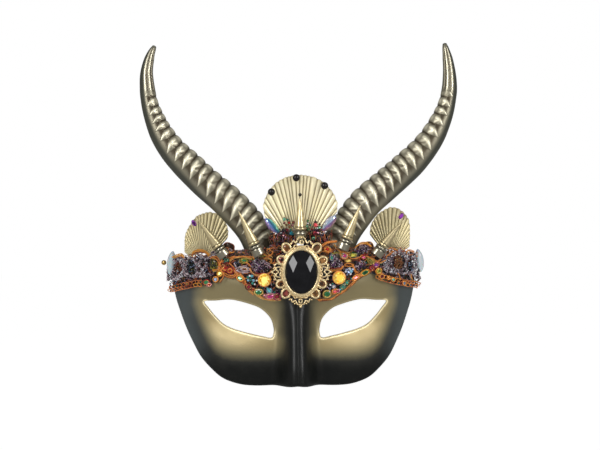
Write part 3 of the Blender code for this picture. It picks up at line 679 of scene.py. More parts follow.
def horn(name, path, notches, side, seed):
    rows, sides = 640, 150
    rng = np.random.default_rng(seed)
    flat = catmull(path, rows)
    C = np.stack([flat[:, 0], lean_back(flat[:, 1]), flat[:, 1]], 1)
    s = np.r_[0, np.cumsum(np.linalg.norm(np.diff(C, axis=0), axis=1))]
    share = np.linspace(0, 1, rows + 1)
    T = unit(np.gradient(C, axis=0))
    # U points to the inner (concave, upper) side of the horn, W to the viewer
    toward = np.array([-side * 1.0, 0, 0.9])
    U = unit(toward - (T @ toward)[:, None] * T)
    W = np.cross(T, U)
    W = W * np.sign(-W[:, 1:2])
    th = 2 * np.pi * np.arange(sides) / sides
    deg = np.degrees(np.where(th > np.pi, 2 * np.pi - th, th))[None]      # 0 inner side, 180 outer side
    w = (1 - np.cos(np.radians(deg))) / 2                                 # share of the width, from the inner side
    n = len(notches)
    knots = np.r_[2 * notches[0] - notches[1] - 0.035 * np.arange(3, 0, -1), notches, notches[-1] + 0.045 * np.arange(1, 6)]
    phase = np.interp(share, knots, np.arange(len(knots)) - 3.0)[:, None]
    k = np.arange(-6, 40)
    bend = np.interp(phase, k, rng.uniform(-1, 1, len(k)))
    bend2 = np.interp(phase, k, rng.uniform(-1, 1, len(k)))
    step = np.interp(share, knots, np.gradient(knots) * s[-1])[:, None]
    wide = step / 7.4
    # fangs: each starts at a bump of the inner edge, sweeps across the horn towards the foot and ends in a point
    PA = phase + 0.22 * np.clip(w, 0, 0.33) + (1.12 + 0.16 * bend) * np.clip(w - 0.30, 0, 0.60) + 0.05 * bend2 * w
    fA = PA - np.floor(PA)                            # 0 at a groove, the crest at 0.62, the next groove at 1
    kA = np.floor(PA)
    reach = np.interp(share, [0.0, 0.25, 0.35, 0.5, 0.7], [0.88, 0.87, 0.80, 0.735, 0.68])[:, None] + 0.03 * np.interp(kA, k, rng.uniform(-1, 1, len(k)))
    crestline = np.clip(1 - np.where(fA < 0.60, (0.60 - fA) / 0.60, (fA - 0.60) / 0.40), 0, 1)
    edge = reach - 0.40 + 0.40 * crestline ** 1.05
    mask = smooth((edge - w) / 0.045)
    # the groove widens between the points of the fangs
    gw = 0.095 + 0.07 * smooth((w - 0.25) / 0.20)
    dA = np.minimum(fA, 1 - fA)
    gA = np.exp(-((dA / gw) ** 2))
    # a short steep crease folds each fang near its bump
    PB = phase + 0.14 * bend2 - (w - 0.06) * 1.5 + 0.22
    fB = PB - np.floor(PB)
    gB = np.exp(-((np.minimum(fB, 1 - fB) / 0.105) ** 2)) * smooth((w - 0.10) / 0.08) * smooth((0.42 + 0.05 * bend - w) / 0.12) * np.clip(0.72 + 0.45 * bend, 0.2, 1)
    dome = np.sqrt(np.clip(1 - (2 * (phase - np.floor(phase)) - 1) ** 2, 0, 1)) * smooth((0.26 - w) / 0.22)
    saw = np.where(fA < 0.60, (fA / 0.60) ** 0.85, ((1 - fA) / 0.40) ** 0.6)
    ridge = saw * (1 - smooth((0.26 - w) / 0.22))
    live = smooth((0.805 - share) / 0.03)[:, None]
    amp = lut(share, [(0, 1.55), (0.4, 1.65), (0.6, 1.35), (0.72, 0.95), (0.80, 0.5), (0.82, 0.0), (1, 0)])[:, None]
    h = np.clip(dome + ridge, 0, 1)
    h = h * (1 - 0.45 * gB)
    h = h * mask + 0.50 * (1 - mask)
    r = lut(share, HORN_RADIUS)[:, None] * np.ones_like(h)
    r = r - amp * live * (1 - h) * (1.0 - 0.30 * w)
    smooth_end = smooth((share - 0.785) / 0.03)[:, None] * smooth((0.998 - share) / 0.03)[:, None]
    furrow = np.zeros_like(h)
    for a0, w0 in ((78, 8.0), (34, 9.0)):
        q = np.exp(-(((deg - a0) / w0) ** 2)) * smooth_end
        r = r - 0.11 * r * q
        furrow = np.maximum(furrow, q)
    r = r * (1 + 0.006 * np.sin(3 * th[None] + 0.05 * s[:, None]) * np.cos(0.11 * s[:, None]))
    V = C[:, None] + r[..., None] * (U[:, None] * np.cos(th)[None, :, None] + W[:, None] * np.sin(th)[None, :, None])
    for i in range(60):
        for j in range(sides):
            low = crown_z(V[i, j, 0], V[i, j, 1]) + 0.7
            if i == 0:
                V[i, j, 2] = low
            elif V[i, j, 2] < low + 0.02 * i:
                V[i, j, 2] = low + 0.02 * i
    valley = smooth((w - (reach - 0.46)) / 0.12) * (1 - mask) * smooth((reach - 0.02 - w) / 0.22)      # the dark notch between two points
    groove = np.clip((gA * mask + 0.8 * gB * mask + 0.90 * valley) * live + 0.85 * furrow, 0, 1)
    shade = np.clip(1 - fA / 0.42, 0, 1) * mask * (1 - smooth((0.20 - w) / 0.15)) * live                    # painted shade on the flank turned to the foot
    groove = np.clip(np.maximum(groove, 0.55 * shade), 0, 1)
    # painted highlights: cream along the fang crests, the folds, the tops of the bumps and beside the two furrows at
    # the tip
    crest = np.exp(-(((fA - 0.62) / 0.15) ** 2)) * mask * smooth((w - 0.08) / 0.10) * (1 - 0.8 * gB) * live
    fold = np.exp(-(((fB - 0.24) / 0.13) ** 2)) * smooth((w - 0.12) / 0.08) * smooth((0.46 - w) / 0.12) * mask * live * np.clip(0.6 + 0.5 * bend2, 0.1, 1)
    crest = np.maximum(crest, 0.85 * fold)
    crest = np.maximum(crest, 0.75 * dome ** 3 * live * (1 - gA))
    crest = np.maximum(crest, smooth_end * np.maximum(np.exp(-(((deg - 96) / 6.5) ** 2)), np.exp(-(((deg - 57) / 7) ** 2))) * 0.9)
    band_ = smooth((w - np.interp(share, [0.0, 0.25, 0.4, 0.55, 0.7, 0.8, 1.0], [0.84, 0.83, 0.72, 0.66, 0.63, 0.56, 0.56])[:, None]) / 0.17) * np.ones_like(h)
    inner = smooth((0.05 - w) / 0.05) * 0.5
    tip = np.clip((share[:, None] - 0.985) / 0.015, 0, 1) * np.ones_like(h)
    bag = Bag()
    m = (rows + 1) * sides
    flip = side < 0
    turn = slice(None, None, -1 if flip else 1)
    j = np.arange(sides)
    bag.put(np.concatenate([V.reshape(-1, 3), V[0].mean(0)[None] + [0, 0, 0.2], (V[-1].mean(0) + T[-1] * 0.5)[None]]),
            [grid_faces(rows + 1, sides, close_v=True, flip=flip),
             np.concatenate([np.stack([np.full(sides, m), j, (j + 1) % sides], 1)[:, turn],
                             np.stack([np.full(sides, m + 1), m - sides + (j + 1) % sides, m - sides + j], 1)[:, turn]])])
    pad = lambda a: np.r_[a.ravel(), 0.5, 1.0]
    place("horn_" + name + "_ridged", bag, M_HORN, ["horn_" + name],
          {"groove": pad(groove), "crest": pad(crest), "band": pad(np.maximum(np.maximum(band_, tip), inner))})


def horn_paint_and_shading(k):
    mix, ramp, attr, noise = k["mix"], k["ramp"], k["attr"], k["noise"]
    out = k["base"]
    out = mix(ramp(attr("band"), [(0.0, 0.0), (1.0, 0.92)]), out, (0.062, 0.066, 0.052))
    # painted highlight on the crests
    out = mix(ramp(attr("crest"), [(0.0, 0.0), (0.25, 0.05), (0.9, 0.90), (1.0, 0.95)]), out, (0.88, 0.82, 0.62))
    # darker in the grooves, furrows and notches, with painted shade on the flanks turned to the foot
    out = mix(ramp(attr("groove"), [(0.0, 0.0), (0.3, 0.32), (0.8, 0.90), (1.0, 0.94)]), out, (0.060, 0.044, 0.024))
    out = mix(ramp(noise(4.5, 3.0, 0.5), [(0.0, 0.0), (0.55, 0.0), (0.8, 0.22)]), out, (0.14, 0.125, 0.09))
    return out


M_HORN = material("horn_antique_paint_and_highlights", (0.26, 0.238, 0.170), rough=0.40, metal=0.55, vary=0.10, vary_size=14,
                  bump=0.02, bump_size=2.5, bump_detail=1.0, rough_vary=0.04, extra=horn_paint_and_shading)
horn("left", LEFT_HORN, LEFT_NOTCHES, -1, 3)
horn("right", RIGHT_HORN, RIGHT_NOTCHES, 1, 5)

# ------------------------------------------------------------------ fans
def fan(name, apex, y, reach, start, widths, lean, mat, depth, scallop):
    """A pleated metal scallop. widths gives each pleat's share of the angle."""
    reach = np.array(reach, float)
    lo, hi = reach[0, 0], reach[-1, 0]
    per, rows = 14, 46
    edges = lo + (hi - lo) * np.r_[0, np.cumsum(widths)] / np.sum(widths)
    n = len(widths)
    u = np.linspace(0, n, n * per + 1)
    ang = np.interp(u, np.arange(n + 1), edges)
    f = u - np.floor(np.minimum(u, n - 1e-9))
    prof = np.sin(np.pi * np.clip(f, 0, 1)) ** 0.62
    size = np.interp(u, np.arange(n) + 0.5, np.asarray(widths) / np.mean(widths)) ** 0.7
    end = np.interp(ang, reach[:, 0], reach[:, 1]) - scallop * (1 - prof)
    t = np.linspace(0, 1, rows + 1)[None]
    r = start + (end[:, None] - start) * t
    grow = np.clip(0.25 + (r - start) / (reach[:, 1].max() - start), 0, 1)
    a = np.radians(ang)[:, None]
    wave = depth * grow * (prof * size)[:, None]
    yy = y + lean * (r - start) ** 2 / 1000 + 0.75 * depth - wave
    lip = 0.35 * smooth((t - 0.965) / 0.035)
    F = np.stack([apex[0] + r * np.sin(a), yy - 0.15 - lip, apex[1] + r * np.cos(a)], -1)
    B = np.stack([apex[0] + r * np.sin(a), yy + 0.45, apex[1] + r * np.cos(a)], -1)
    # painted shade: the pleat grooves are darkened, more so towards the apex; the back face gets an even 0.3 of it
    groove = np.exp(-((np.minimum(f, 1 - f) * size / 0.17) ** 2))[:, None] * np.clip(1.15 - 0.5 * t, 0, 1)
    base = smooth((0.22 - t) / 0.22)
    groove = np.clip(groove + 0.5 * base, 0, 1)
    nu, nv = F.shape[:2]
    V = np.concatenate([F.reshape(-1, 3), B.reshape(-1, 3)])
    m = nu * nv
    i, j = np.arange(nu - 1), np.arange(nv - 1)
    wall = [np.stack([i * nv, (i + 1) * nv, (i + 1) * nv + m, i * nv + m], 1),
            np.stack([i * nv + nv - 1, i * nv + nv - 1 + m, (i + 1) * nv + nv - 1 + m, (i + 1) * nv + nv - 1], 1),
            np.stack([j, j + m, j + 1 + m, j + 1], 1),
            np.stack([(nu - 1) * nv + j, (nu - 1) * nv + j + 1, (nu - 1) * nv + j + 1 + m, (nu - 1) * nv + j + m], 1)]
    bag = Bag()
    bag.put(V, [grid_faces(nu, nv, flip=True), grid_faces(nu, nv, base=m), *wall])
    place(name + "_pleated", bag, mat, [name], {"groove": np.concatenate([groove.ravel(), 0.3 + 0 * groove.ravel()])})


def fan_paint_and_shade(dark, light):
    def run(k):
        mix, ramp, attr, noise = k["mix"], k["ramp"], k["attr"], k["noise"]
        # painted shade in the pleat grooves
        out = mix(ramp(attr("groove"), [(0.0, 0.0), (0.25, 0.25), (0.75, 0.80), (1.0, 0.92)]), k["base"], dark)
        out = mix(ramp(noise(9.0, 3.0), [(0.0, 0.0), (0.45, 0.0), (0.75, 0.35)]), out, light, "MULTIPLY")
        return out
    return run


M_FAN = material("fan_pale_gold", (1.0, 0.89, 0.60), rough=0.38, metal=0.40, vary=0.05, vary_size=18, bump=0.02, bump_size=1.5,
                 extra=fan_paint_and_shade((0.17, 0.110, 0.038), (0.97, 0.86, 0.60)))
M_FAN2 = material("fan_olive_gold", (0.86, 0.75, 0.45), rough=0.40, metal=0.45, vary=0.07, vary_size=10, bump=0.02, bump_size=1.5,
                  extra=fan_paint_and_shade((0.17, 0.130, 0.055), (0.90, 0.82, 0.60)))
_r = np.random.default_rng(8)
fan("fan_center", (2.5, 47.0), -54.5,
    [(-42, 36.5), (-36, 44.5), (-30, 48.5), (-19, 54.5), (-10, 56.8), (0, 57.6), (10, 56.8), (18, 54.8),
     (28, 50.3), (35, 46.0), (40, 40.5)], 9.0, 0.55 + 1.15 * _r.random(22), -1.0, M_FAN, 1.05, 0.55)
fan("fan_left", (-66.5, 38.0), -33.0,
    [(-49, 16.2), (-38, 19.8), (-25, 27), (-14, 32), (-5, 37), (8, 40), (18, 39.8), (27, 37.2), (37, 31.8), (42, 27.5)],
    10.0, 0.7 + 0.6 * _r.random(23), -1.0, M_FAN2, 0.85, 0.7)
fan("fan_right", (68.0, 42.5), -33.0,
    [(-38, 23.5), (-28, 29), (-16, 34), (0, 38.2), (8, 38), (16, 35.8), (25, 32.2), (36, 24.6), (46, 19.8), (56, 17)],
    8.5, 0.85 + 0.3 * _r.random(19), -1.0, M_FAN2, 0.85, 0.7)

# ------------------------------------------------------------------ spikes
# the groove colour is painted shade in the turned grooves and where the cone meets the ferrule
M_BRASS = material("spike_satin_brass", (0.77, 0.64, 0.37), rough=0.33, metal=0.85, vary=0.05, vary_size=9, rough_vary=0.02, bump=0.02, bump_size=3.0, bump_detail=0.0,
                   groove="groove", groove_color=(0.06, 0.045, 0.02), wear=(9.0, (0.55, 0.45, 0.26), 0.22))
M_PEWTER = material("spike_pewter", (0.50, 0.46, 0.35), rough=0.30, metal=0.9, vary=0.08, vary_size=6, rough_vary=0.02, bump=0.02, bump_size=3.0, bump_detail=0.0,
                    groove="groove", groove_color=(0.03, 0.025, 0.015), wear=(6.0, (0.24, 0.20, 0.13), 0.2))


def turned(name, nodes, a, b, rows, mat, sides=44):
    """rows: (distance along, radius, darkness of painted shade in the groove)."""
    axis = unit(b - a)
    u = unit(np.cross(axis, [0, 1.0, 0]))
    v = np.cross(axis, u)
    th = 2 * np.pi * np.arange(sides) / sides
    d, r, g = np.array(rows, float).T
    ring = a + d[:, None, None] * axis + r[:, None, None] * (np.cos(th)[None, :, None] * u + np.sin(th)[None, :, None] * v)
    V = np.concatenate([ring.reshape(-1, 3), [a + axis * d[0], a + axis * d[-1]]])
    m, k = len(d) * sides, np.arange(sides)
    bag = Bag()
    bag.put(V, [grid_faces(len(d), sides, close_v=True),
                np.concatenate([np.stack([np.full(sides, m), (k + 1) % sides, k], 1),
                                np.stack([np.full(sides, m + 1), m - sides + k, m - sides + (k + 1) % sides], 1)])])
    place(name, bag, mat, nodes, {"groove": np.r_[np.repeat(g, sides), g[0], g[-1]]})


SPIKES = {"center": ((2.3, 62.6), (2.1, 88.9), None), "inner_left": ((-26.4, 48.3), (-41.0, 79.4), 6.2),
          "inner_right": ((31.6, 52.0), (44.5, 83.2), 6.2), "outer_left": ((-50.4, 47.0), (-69.5, 73.4), 5.2),
          "outer_right": ((56.0, 47.2), (75.8, 72.6), 5.2)}
for name, (foot, tip, front) in SPIKES.items():
    y = float(face_y(foot[0], 44)) - front if front is not None else -62.5
    a, b = np.array([foot[0], y, foot[1]]), np.array([tip[0], y, tip[1]])
    length = np.linalg.norm(b - a)
    axis = unit(b - a)
    c = min(8.2, length - 23.0)
    # the ferrule: a plain barrel with a rolled foot, a neck and a bead under the cone
    rows = [(0.05, 3.9, 0.6), (0.2, 4.25, 0.2), (0.6, 4.4, 0)]
    if c > 5:
        rows += [(1.0, 4.36, 0), (c * 0.50, 4.30, 0), (c * 0.60, 4.26, 0), (c * 0.64, 4.05, 0.9), (c * 0.68, 3.98, 1.0),
                 (c * 0.72, 4.15, 0.3), (c * 0.78, 4.32, 0), (c * 0.86, 4.30, 0), (c * 0.90, 4.05, 0.5), (c * 0.94, 3.72, 1.0),
                 (c - 0.36, 3.7, 1.0)]
    else:
        rows += [(c * 0.45, 4.36, 0), (c * 0.55, 4.1, 0.8), (c * 0.66, 4.0, 1.0), (c * 0.75, 4.2, 0.1), (c - 0.40, 3.9, 0.8)]
    turned("spike_ferrule_%s_turned" % name, ["spike_ferrule_" + name], a, b, rows, M_PEWTER)
    L_ = length - c
    rows = [(0.0, 3.35, 1.0), (0.1, 3.7, 0.7), (0.35, 3.98, 0.2), (0.8, 4.14, 0), (1.35, 4.16, 0), (1.75, 4.02, 0.25), (2.1, 3.74, 0.9),
            (2.35, 3.68, 0.8), (2.7, 3.72, 0.1)]
    for t in np.linspace(0.14, 0.985, 26):
        rows.append((L_ * t, 3.95 * (1 - t) ** 0.90 + 0.10, 0))
    rows += [(L_ * 0.996, 0.12, 0), (L_ - 0.02, 0.03, 0)]
    turned("spike_cone_%s_turned" % name, ["spike_cone_" + name], a + axis * c, b, rows, M_BRASS)

# ------------------------------------------------------------------ brooch
M_FILI = material("filigree_gold", (0.93, 0.74, 0.42), rough=0.27, metal=0.70, vary=0.06, vary_size=6, rough_vary=0.03, bump=0.02, bump_size=2.5, bump_detail=0.0,
                  wear=(4.0, (0.60, 0.42, 0.18), 0.2), tint=True)
BX, BZ, BY = 2.6, 37.0, -69.4


def ring3(cx, cz, a, b, y, turn=0.0, n=40, open_=0.0, wave=0.0, waves=0):
    t = np.linspace(0, 2 * np.pi, n, endpoint=False)
    k = 1 + wave * np.cos(waves * t)
    px, pz = a * k * np.cos(t), b * k * np.sin(t)
    c, s = math.cos(turn), math.sin(turn)
    return np.stack([cx + px * c - pz * s, np.full(n, y), cz + px * s + pz * c], 1)


def brooch():
    bag = Bag()
    g = (1, 1, 1)
    # bezel: a smooth inner wall, a rope border and a bead border
    bag.put(*tube(ring3(BX, BZ, 12.0, 16.0, -70.9, n=120), 0.85, 12, True), tint=g)
    bag.put(*tube(ring3(BX, BZ, 12.7, 16.7, -70.3, n=120), 0.75, 10, True), tint=g)
    for V, F in strands(ring3(BX, BZ, 13.5, 17.5, -69.9, n=260), 0.55, 1.5, 2, 7, True):
        bag.put(V, F, tint=(0.95, 0.93, 0.9))
    # a thin pierced plate carries the wires: an inner ring
    t = np.linspace(0, 2 * np.pi, 160, endpoint=False)
    inner = np.stack([BX + 12.2 * np.cos(t), np.full(160, 0.0), BZ + 16.2 * np.sin(t)], 1)
    outer = np.stack([BX + 14.6 * np.cos(t), np.full(160, 0.0), BZ + 18.6 * np.sin(t)], 1)
    P = np.stack([inner + [0, -69.5, 0], outer + [0, -69.5, 0], outer + [0, -68.4, 0], inner + [0, -68.4, 0]], 1)
    bag.put(P, grid_faces(160, 4, close_u=True, close_v=True), tint=(0.8, 0.75, 0.66))
    loops = [(-7.6, 53.7, 2.9, 2.2), (13.3, 53.6, 2.9, 2.2), (-11.0, 45.3, 2.7, 2.0), (17.4, 44.8, 2.8, 2.0),
             (-11.5, 28.9, 2.7, 1.9), (16.7, 28.8, 2.9, 2.0), (-8.0, 22.2, 2.9, 2.2), (12.2, 22.1, 2.9, 2.2)]
    for x, z, a, b in loops:
        turn = math.atan2(z - BZ, (x - BX) * 1.15)
        bag.put(*tube(ring3(x, z, a + 0.55, b + 0.55, BY - 0.2, turn), 0.62, 9, True), tint=g)
        bag.put(*tube(ring3(x, z, a + 0.95, b + 0.95, BY + 0.35, turn), 0.45, 7, True), tint=(0.85, 0.8, 0.7))
        d = np.array([math.cos(turn), math.sin(turn)])
        for q in (-1, 1):       # grains in the forks beside each loop
            e = np.array([-d[1], d[0]]) * q
            c = np.array([x, z]) + e * (b + 1.2) + d * 0.6
            ball(bag, (c[0], BY - 0.3, c[1]), 0.52, (1, 0.97, 0.9))
    small = [(-11.0, 38.8, 1.25), (-11.0, 35.5, 1.25), (16.1, 38.7, 1.25), (16.1, 35.2, 1.25), (-1.4, 20.0, 1.25), (5.7, 20.0, 1.25),
             (2.1, 16.6, 1.2), (-1.2, 54.6, 1.3), (6.4, 54.2, 1.3), (2.9, 57.8, 1.25)]
    for x, z, r in small:
        bag.put(*tube(ring3(x, z, r, r, BY - 0.35, n=24), 0.45, 8, True), tint=g)
    # side filigree: scalloped wires with grains at their points
    for sgn in (-1, 1):
        cx = BX + sgn * 16.2
        for pts in ([(BX + sgn * 13.9, 42.0), (cx + sgn * 0.9, 43.0), (cx + sgn * 2.4, 41.0), (cx + sgn * 1.9, 38.8), (cx + sgn * 4.2, 37.0),
                     (cx + sgn * 1.9, 35.2), (cx + sgn * 2.4, 33.0), (cx + sgn * 0.8, 31.2), (BX + sgn * 14.2, 32.0)],
                    [(cx - sgn * 1.4, 40.6), (cx + sgn * 0.9, 40.2), (cx + sgn * 1.3, 38.6), (cx - sgn * 0.2, 37.0), (cx + sgn * 1.3, 35.4),
                     (cx + sgn * 0.9, 33.8), (cx - sgn * 1.4, 33.4)]):
            P = catmull([(x, BY - 0.2, z) for x, z in pts], 60)
            bag.put(*tube(P, 0.46, 8), tint=g)
        for dx, dz, r in ((4.6, 37.0, 0.75), (3.2, 39.6, 0.55), (3.2, 34.4, 0.55), (2.9, 42.2, 0.55), (2.7, 31.8, 0.55)):
            ball(bag, (cx + sgn * dx, BY - 0.3, dz), r, (1, 0.98, 0.94))
    # crown and pendant
    top = [(-4.4, 56.4), (-3.0, 58.6), (-1.2, 57.4), (0.4, 60.6), (2.7, 61.6), (5.0, 60.4), (6.6, 57.3), (8.4, 58.6), (9.8, 56.4)]
    low_ = [(-4.6, 18.2), (-3.4, 16.0), (-1.6, 17.0), (-0.2, 14.6), (2.1, 14.2), (4.4, 14.6), (5.8, 17.0), (7.6, 16.0), (8.8, 18.2)]
    for pts in (top, low_):
        bag.put(*tube(catmull([(x, BY - 0.1, z) for x, z in pts], 90), 0.5, 8), tint=g)
        for x, z in pts[1::2]:
            ball(bag, (x, BY - 0.5, z), 0.62, (1, 0.97, 0.9))
    ball(bag, (2.1, BY - 0.6, 12.9), 1.05, (1.1, 1.08, 1.05), 14, 10)
    ball(bag, (2.6, BY - 0.5, 61.2), 0.8, (1, 0.97, 0.9), 12, 8)
    for x, z in ((-5.6, 17.8), (9.9, 17.6), (-4.9, 56.9), (10.3, 56.8), (-2.0, 14.9), (6.2, 14.9)):
        ball(bag, (x, BY - 0.3, z), 0.62, (1, 0.97, 0.9))
    place("brooch_frame_filigree", bag, M_FILI, ["brooch_frame"])


brooch()
LOOPS = [(-7.6, 53.7, 2.9, 2.2), (13.3, 53.6, 2.9, 2.2), (-11.0, 45.3, 2.7, 2.0), (17.4, 44.8, 2.8, 2.0),
         (-11.5, 28.9, 2.7, 1.9), (16.7, 28.8, 2.9, 2.0), (-8.0, 22.2, 2.9, 2.2), (12.2, 22.1, 2.9, 2.2)]

# ------------------------------------------------------------------ black oval stone
def hull(points, name):
    import bmesh
    bm = bmesh.new()
    vs = [bm.verts.new(tuple((np.array(p) + [0, DY, 0]) * MM)) for p in points]
    bmesh.ops.convex_hull(bm, input=vs)
    bmesh.ops.dissolve_limit(bm, angle_limit=math.radians(1.2), verts=bm.verts, edges=bm.edges)
    bmesh.ops.recalc_face_normals(bm, faces=bm.faces)
    me = bpy.data.meshes.new(name)
    bm.to_mesh(me)
    bm.free()
    me.color_attributes.new("tint", "FLOAT_COLOR", "CORNER")
    me.color_attributes["tint"].data.foreach_set("color", np.ones(4 * len(me.loops), np.float32))
    return me


def gem():
    W_, H_, T_, back = 11.0, 15.0, 4.95, -70.55
    pts = []

    def p(u, v, h):
        pts.append((BX + W_ * u, back - T_ * h, BZ + H_ * v))
    for k in range(32):
        a = 2 * math.pi * k / 32
        p(0.95 * math.cos(a), 0.95 * math.sin(a), 0.0)
        p(math.cos(a), math.sin(a), 0.20)
    for s in (-1, 1):
        for q in (1, -1):      # the kite facets, upper and lower
            p(s * 0.54, q * 0.79, 0.46)
            p(s * 0.80, q * 0.45, 0.435)
            p(s * 0.28, q * 0.45, 0.895)
        p(s * 0.54, 0.0, 0.93)
        p(s * 0.90, 0.0, 0.52)
    p(0, 0.90, 0.46)
    p(0, -0.90, 0.46)
    p(0, 0.62, 0.885)
    p(0, -0.62, 0.885)
    p(0, 0.0, 1.0)
    me = hull(pts, "brooch_gem_cut")
    me.materials.append(M_GEM)
    obj = bpy.data.objects.new("brooch_gem_cut", me)
    bpy.context.scene.collection.objects.link(obj)
    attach(obj, BODY)
    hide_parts("brooch_gem")


M_GEM = material("black_gem", (0.006, 0.006, 0.007), rough=0.03, spec=0.36, vary=0.3, vary_size=5, rough_vary=0.01)
gem()

# ------------------------------------------------------------------ stones and beads of their own
M_CRYSTAL = material("crystal_aurora", (1.0, 1.0, 1.0), rough=0.05, metal=0.55, spec=0.8, vary=0.06, vary_size=2, rough_vary=0.03, tint=True, coat=0.6, coat_rough=0.02)
M_STONE = material("glass_stones", (1.0, 1.0, 1.0), rough=0.07, metal=0.30, spec=0.8, vary=0.08, vary_size=1.5, rough_vary=0.03, tint=True, coat=0.7, coat_rough=0.03)
M_OPAL = material("opal_glass", (1.0, 1.0, 1.0), rough=0.22, spec=0.5, vary=0.06, vary_size=4, tint=True, coat=0.4, coat_rough=0.08, subsurface=0.3, bump=0.04, bump_size=0.8)
M_AMBER = material("amber_glass", (1.0, 1.0, 1.0), rough=0.10, spec=0.6, vary=0.15, vary_size=2.5, tint=True, coat=0.8, coat_rough=0.03)
M_BLACK = material("black_bead", (0.012, 0.010, 0.010), rough=0.16, spec=0.45, vary=0.3, vary_size=1.5, tint=True)
M_GOLDB = material("gold_bead", (0.90, 0.62, 0.22), rough=0.22, metal=0.85, vary=0.12, vary_size=1.0, bump=0.05, bump_size=0.4, tint=True)


def marquise(name, node, c, size, turn, tints, normal=(0, -1, 0)):
    """A boat-shaped stone with long facets that meet on a ridge."""
    w, h, t = size[0] / 2, size[1] / 2, size[2]
    R, U, N = basis(normal, turn)
    c = np.asarray(c, float)
    n = 12
    a = 2 * np.pi * np.arange(n) / n

    def ring(share, depth, phase=0.0):
        ca, sa = np.cos(a + phase), np.sin(a + phase)
        sa = sa * (0.62 + 0.38 * np.abs(sa))
        return c + (ca * w * share)[:, None] * R + (sa * h * share)[:, None] * U + depth * t * N
    rings = [ring(0.9, 0), ring(1.0, 0.28), ring(0.80, 0.66, math.pi / n), ring(0.50, 0.97)]
    V = np.concatenate(rings + [(c + t * N)[None]])
    k = np.arange(n)
    m = (k + 1) % n
    quads = np.stack([k, m, n + m, n + k], 1)
    tris = np.concatenate([np.stack([n + k, n + m, 2 * n + k], 1), np.stack([n + m, 2 * n + m, 2 * n + k], 1),
                           np.stack([2 * n + k, 2 * n + m, 3 * n + m], 1), np.stack([2 * n + k, 3 * n + m, 3 * n + k], 1),
                           np.stack([3 * n + k, 3 * n + m, np.full(n, 4 * n)], 1)])
    cen = V[tris].mean(1) - c
    pos = (cen @ U) / h * 0.9 + 0.25 * (cen @ R) / w        # colour bands run along the stone
    idx = np.clip(((pos + 1) / 2 * len(tints)).astype(int), 0, len(tints) - 1)
    ft = np.asarray(tints, float)[idx] * RNG.uniform(0.75, 1.2, (len(tris), 1))
    bag = Bag()
    bag.put(V, [quads, tris], ft=[np.tile(np.asarray(tints[0], float) * 0.6, (len(quads), 1)), np.clip(ft, 0, 1)], smooth=False)
    # the ring where a metal cup would sit is worked out, but no cup is made
    base = ring(1.0, 0.02)
    bag2 = None
    place(name, bag, M_CRYSTAL, [node])


marquise("navette_left_cut", "navette_left", (-17.3, -56.9, 68.7), (14.2, 6.4, 3.0), -math.radians(45),
         [(0.30, 0.18, 0.42), (0.52, 0.42, 0.80), (0.20, 0.30, 0.70), (0.05, 0.22, 0.34), (0.16, 0.55, 0.50), (0.62, 0.72, 0.34)])
marquise("navette_right_cut", "navette_right", (22.9, -56.9, 70.3), (14.8, 6.4, 3.0), math.radians(50),
         [(0.60, 0.44, 0.36), (0.56, 0.34, 0.44), (0.34, 0.20, 0.44), (0.52, 0.64, 0.86), (0.70, 0.80, 0.92), (0.40, 0.40, 0.62)])


def pebble(name, node, c, size, turn, tint, mat, lean=0.0, tip=None):
    """A frosted boat-shaped stone: smooth, with a soft ridge."""
    w, h, t = size[0] / 2, size[1] / 2, size[2]
    nrm = np.array([-math.sin(-lean), -math.cos(lean), 0.0])
    nrm = np.array([math.sin(lean), -math.cos(lean), 0.0])
    R, U, N = basis(nrm, turn)
    a = 2 * np.pi * np.arange(40) / 40
    ca, sa = np.cos(a), np.sin(a)
    sa = sa * (0.70 + 0.30 * np.abs(sa))
    rows, tints = [], []
    for q in np.linspace(0, 1, 15):
        s_ = math.cos(q * math.pi / 2) ** 0.8 if q < 1 else 0.02
        rows.append(np.asarray(c, float) + (ca * w * s_)[:, None] * R + (sa * h * s_)[:, None] * U + t * math.sin(q * math.pi / 2) * N)
        mixv = (0.5 + 0.5 * sa)[:, None] * (1 - q) + 0.5 * q
        tints.append(np.asarray(tint[0], float) * (1 - mixv) + np.asarray(tint[1], float) * mixv)
    V = np.concatenate(rows + [np.asarray(c, float)[None]])
    vt = np.concatenate(tints + [np.asarray(tint[0], float)[None]])
    k = np.arange(40)
    bag = Bag()
    bag.put(V, [grid_faces(15, 40, close_v=True), np.stack([np.full(40, 600), (k + 1) % 40, k], 1)], vt=vt)
    place(name, bag, mat, [node])


pebble("opal_left_cut", "opal_left", (-88.0, -24.8, 40.4), (17.4, 6.6, 3.2), math.radians(82), [(0.30, 0.38, 0.41), (0.52, 0.58, 0.60)], M_OPAL, lean=math.radians(-30))
pebble("opal_right_cut", "opal_right", (90.2, -22.4, 41.4), (17.0, 6.6, 3.2), math.radians(100), [(0.36, 0.42, 0.45), (0.60, 0.64, 0.66)], M_OPAL, lean=math.radians(30))


